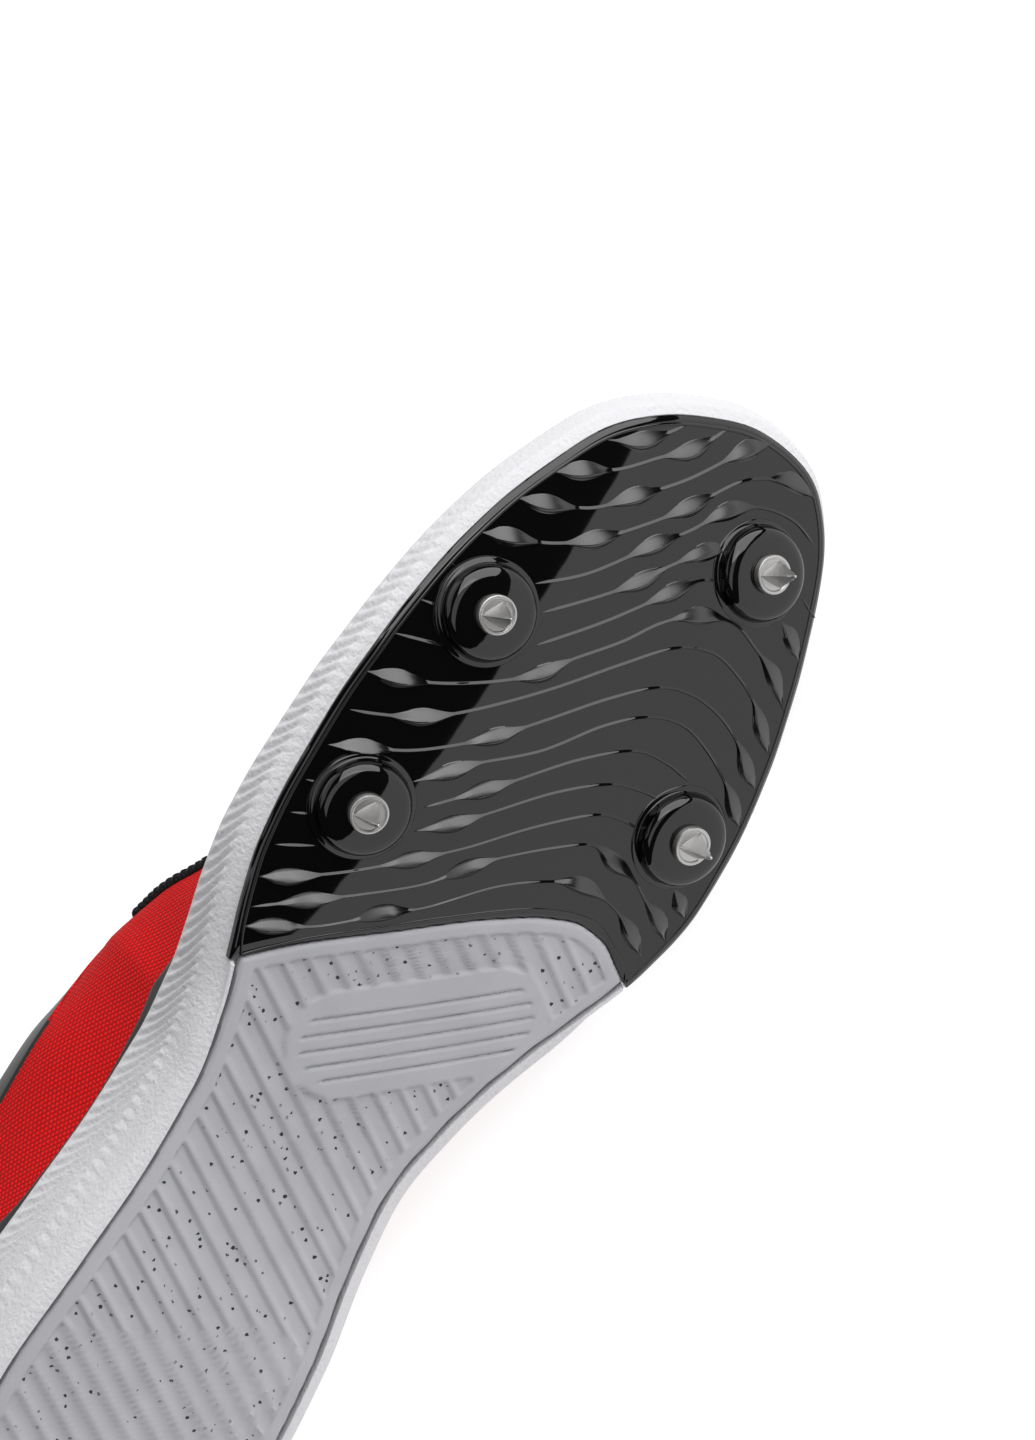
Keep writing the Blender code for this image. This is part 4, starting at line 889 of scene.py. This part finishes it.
def makeEyelets():
    hole, ring = eyelets["hole"], eyelets["ring"]
    profile = [(0, -0.9), (hole * 0.98, -0.9)]
    profile += [((hole + ring) / 2 - (ring - hole) / 2 * np.cos(a), eyelets["high"] * np.sin(a) - 0.05)
                for a in np.linspace(0, pi, 9)]
    profile += [(ring, -1.0), (0, -1.0)]
    shells = [(revolved(eyeletPlace(along, side), profile, 32), None, None)
              for along in eyelets["along"] for side in (-1, 1)]
    showPiece(joined("eyeletRings", shells), [filmBlack], (), 40)


def makeLaces():
    places = angleOf(np.array(eyelets["along"]))
    lift = upper["overlay"] + 3 * sole["gap"] + lace["thick"] / 2
    spans = [(places[-1], places[-1], 1, 0.15)]
    for low, high in zip(places[:0:-1], places[-2::-1]):
        spans += [(low, high, 1, 0.0), (low, high, -1, 0.95)]
    shells = []
    angle, row = roundTurn(14), eyelets["row"]
    for low, high, side, over in spans:
        knots, ups = [], []
        # out of one hole, over the eyestay's edge and back down into the hole across
        for share, v, more in ((0, row, -3), (0, row + 0.025, -0.1), (0.2, 1, 0), (0.8, 1, 0),
                               (1, row + 0.025, -0.1), (1, row, -3)):
            sign = -side if share < 0.5 else side
            point, normal = surfaceAt(sign * (low + (high - low) * share), v)
            knots.append(point + normal * (lift + over * lace["thick"] + more))
            ups.append(normal)
        up = unit(ups[2] + ups[3])
        knots.insert(3, (knots[2] + knots[3]) / 2 + up * tongue["crown"])
        ups.insert(3, up)
        path, ups = through(knots, 64), unit(through(ups, 64))
        along = unit(np.gradient(path, axis=0))
        aside = unit(np.cross(along, ups))
        run = runAlong(path)
        pinch = 0.45 + 0.55 * ease(np.minimum(run, run[-1] - run), 1.5, 7.0)[:, None]  # gathers at a hole
        wide, thick = lace["width"] / 2 * pinch, lace["thick"] / 2 * (1.5 - 0.5 * pinch)
        wide[[0, -1]] = thick[[0, -1]] = tube["end"]
        around = np.cos(angle) * lace["width"] / 2
        shells.append(sweptTube(path, aside * wide, np.cross(aside, along) * thick, angle, run, around, 0.7))
    showPiece(joined("shoeLaces", shells), [laceCloth], ["laces"], 60)


makeTongue()
makeInsole()
makeEyelets()
makeLaces()
print("shoe: tongue, sockliner, eyelets, laces")

# floor, lights, camera

view = {"tiltDeg": 27.5, "swingDeg": 6, "rollDeg": 2, "axisDeg": 58.87, "distanceMm": 1100,
        "pixelsPerMm": 5.1, "target": (212, 4, 3), "targetPixel": (600, 760), "imagePixels": (1035, 1440),
        "sensorMm": 36}
studio = {"floorFront": 0.5, "floorBack": 3, "floorSide": 2.5, "world": "#8a8a8d", "worldStrength": 0.12}
lights = (("frontWindow", (0, -1.2, 1.05), (0, 0, 0.05), (2.2, 0.8), 6),  # place, aim, size, watts
          ("overhead", (-0.3, 0.5, 1.6), (0, 0, 0), (2.0, 1.2), 6))

tilt, swing = radians(view["tiltDeg"]), radians(view["swingDeg"])
towards = np.array([np.sin(swing), -np.sin(tilt) * np.cos(swing), -np.cos(tilt) * np.cos(swing)])
ahead, side = axesOn(towards)[:2]
angle = radians(view["axisDeg"] - view["rollDeg"])
right = ahead * np.cos(angle) - side * np.sin(angle)
above = ahead * np.sin(angle) + side * np.cos(angle)
offX, offY = (np.array(view["imagePixels"]) / 2 - view["targetPixel"]) / view["pixelsPerMm"]
centre = view["target"] + right * offX - above * offY
lens = bpy.data.cameras.new("camera")
lens.sensor_width = view["sensorMm"]
lens.lens = view["pixelsPerMm"] * view["distanceMm"] / view["imagePixels"][1] * view["sensorMm"]
lens.clip_end = 20
camera = inScene("camera", lens)
axes = Matrix((layDown @ np.stack([right, above, towards], 1)).tolist()).to_4x4()
camera.matrix_world = Matrix.Translation(laid(centre + towards * view["distanceMm"])) @ axes
bpy.context.scene.camera = camera

# light table: opal acrylic lit from below, no pattern at this scale, and a painted wall behind it
white = linear("#ffffff")
acrylic = newMaterial("opalAcrylicLit", "#8c8c8c", 0.9, Specular_IOR_Level=0.1, Emission_Strength=0.85,
                      Emission_Color=white)[0]
paint = newMaterial("paintedWallGrey", "#a0a0a0", 0.9, Emission_Strength=0.3, Emission_Color=white)[0]
s, f, b = studio["floorSide"], studio["floorFront"], studio["floorBack"]
for name, corners, material in (("floor", [(-s, -f, 0), (s, -f, 0), (s, b, 0), (-s, b, 0)], acrylic),
                                ("backWall", [(-s, b, 0), (s, b, 0), (s, b, 2 * s), (-s, b, 2 * s)], paint)):
    panel = bpy.data.meshes.new(name)
    panel.from_pydata(corners, [], [(0, 1, 2, 3)])
    panel.materials.append(material)
    inScene(name, panel)

world = bpy.data.worlds.new("studio")
bpy.context.scene.world = world
world.use_nodes = True
sky = world.node_tree.nodes["Background"].inputs
sky["Color"].default_value, sky["Strength"].default_value = linear(studio["world"]), studio["worldStrength"]


def softBox(name, place, aim, size, watts):
    lamp = bpy.data.lights.new(name, "AREA")
    lamp.shape, lamp.size, lamp.size_y, lamp.energy = "RECTANGLE", size[0], size[1], watts
    shown = inScene(name, lamp)
    shown.location = place
    shown.rotation_euler = (Vector(aim) - Vector(place)).to_track_quat("-Z", "Y").to_euler()


def aroundView(aside, up, out, away):  # a place in the room along the view's own axes, metres from the forefoot
    way = unit(layDown @ (right * aside + above * up + towards * out))
    return Vector(laid(view["target"]) + way * away)


softBox("keyLight", aroundView(0.11, 0.79, 0.61, 2.1), laid(view["target"]), (3.0, 2.7), 82)
for light in lights:
    softBox(*light)

bpy.context.scene.view_settings.view_transform = "Standard"
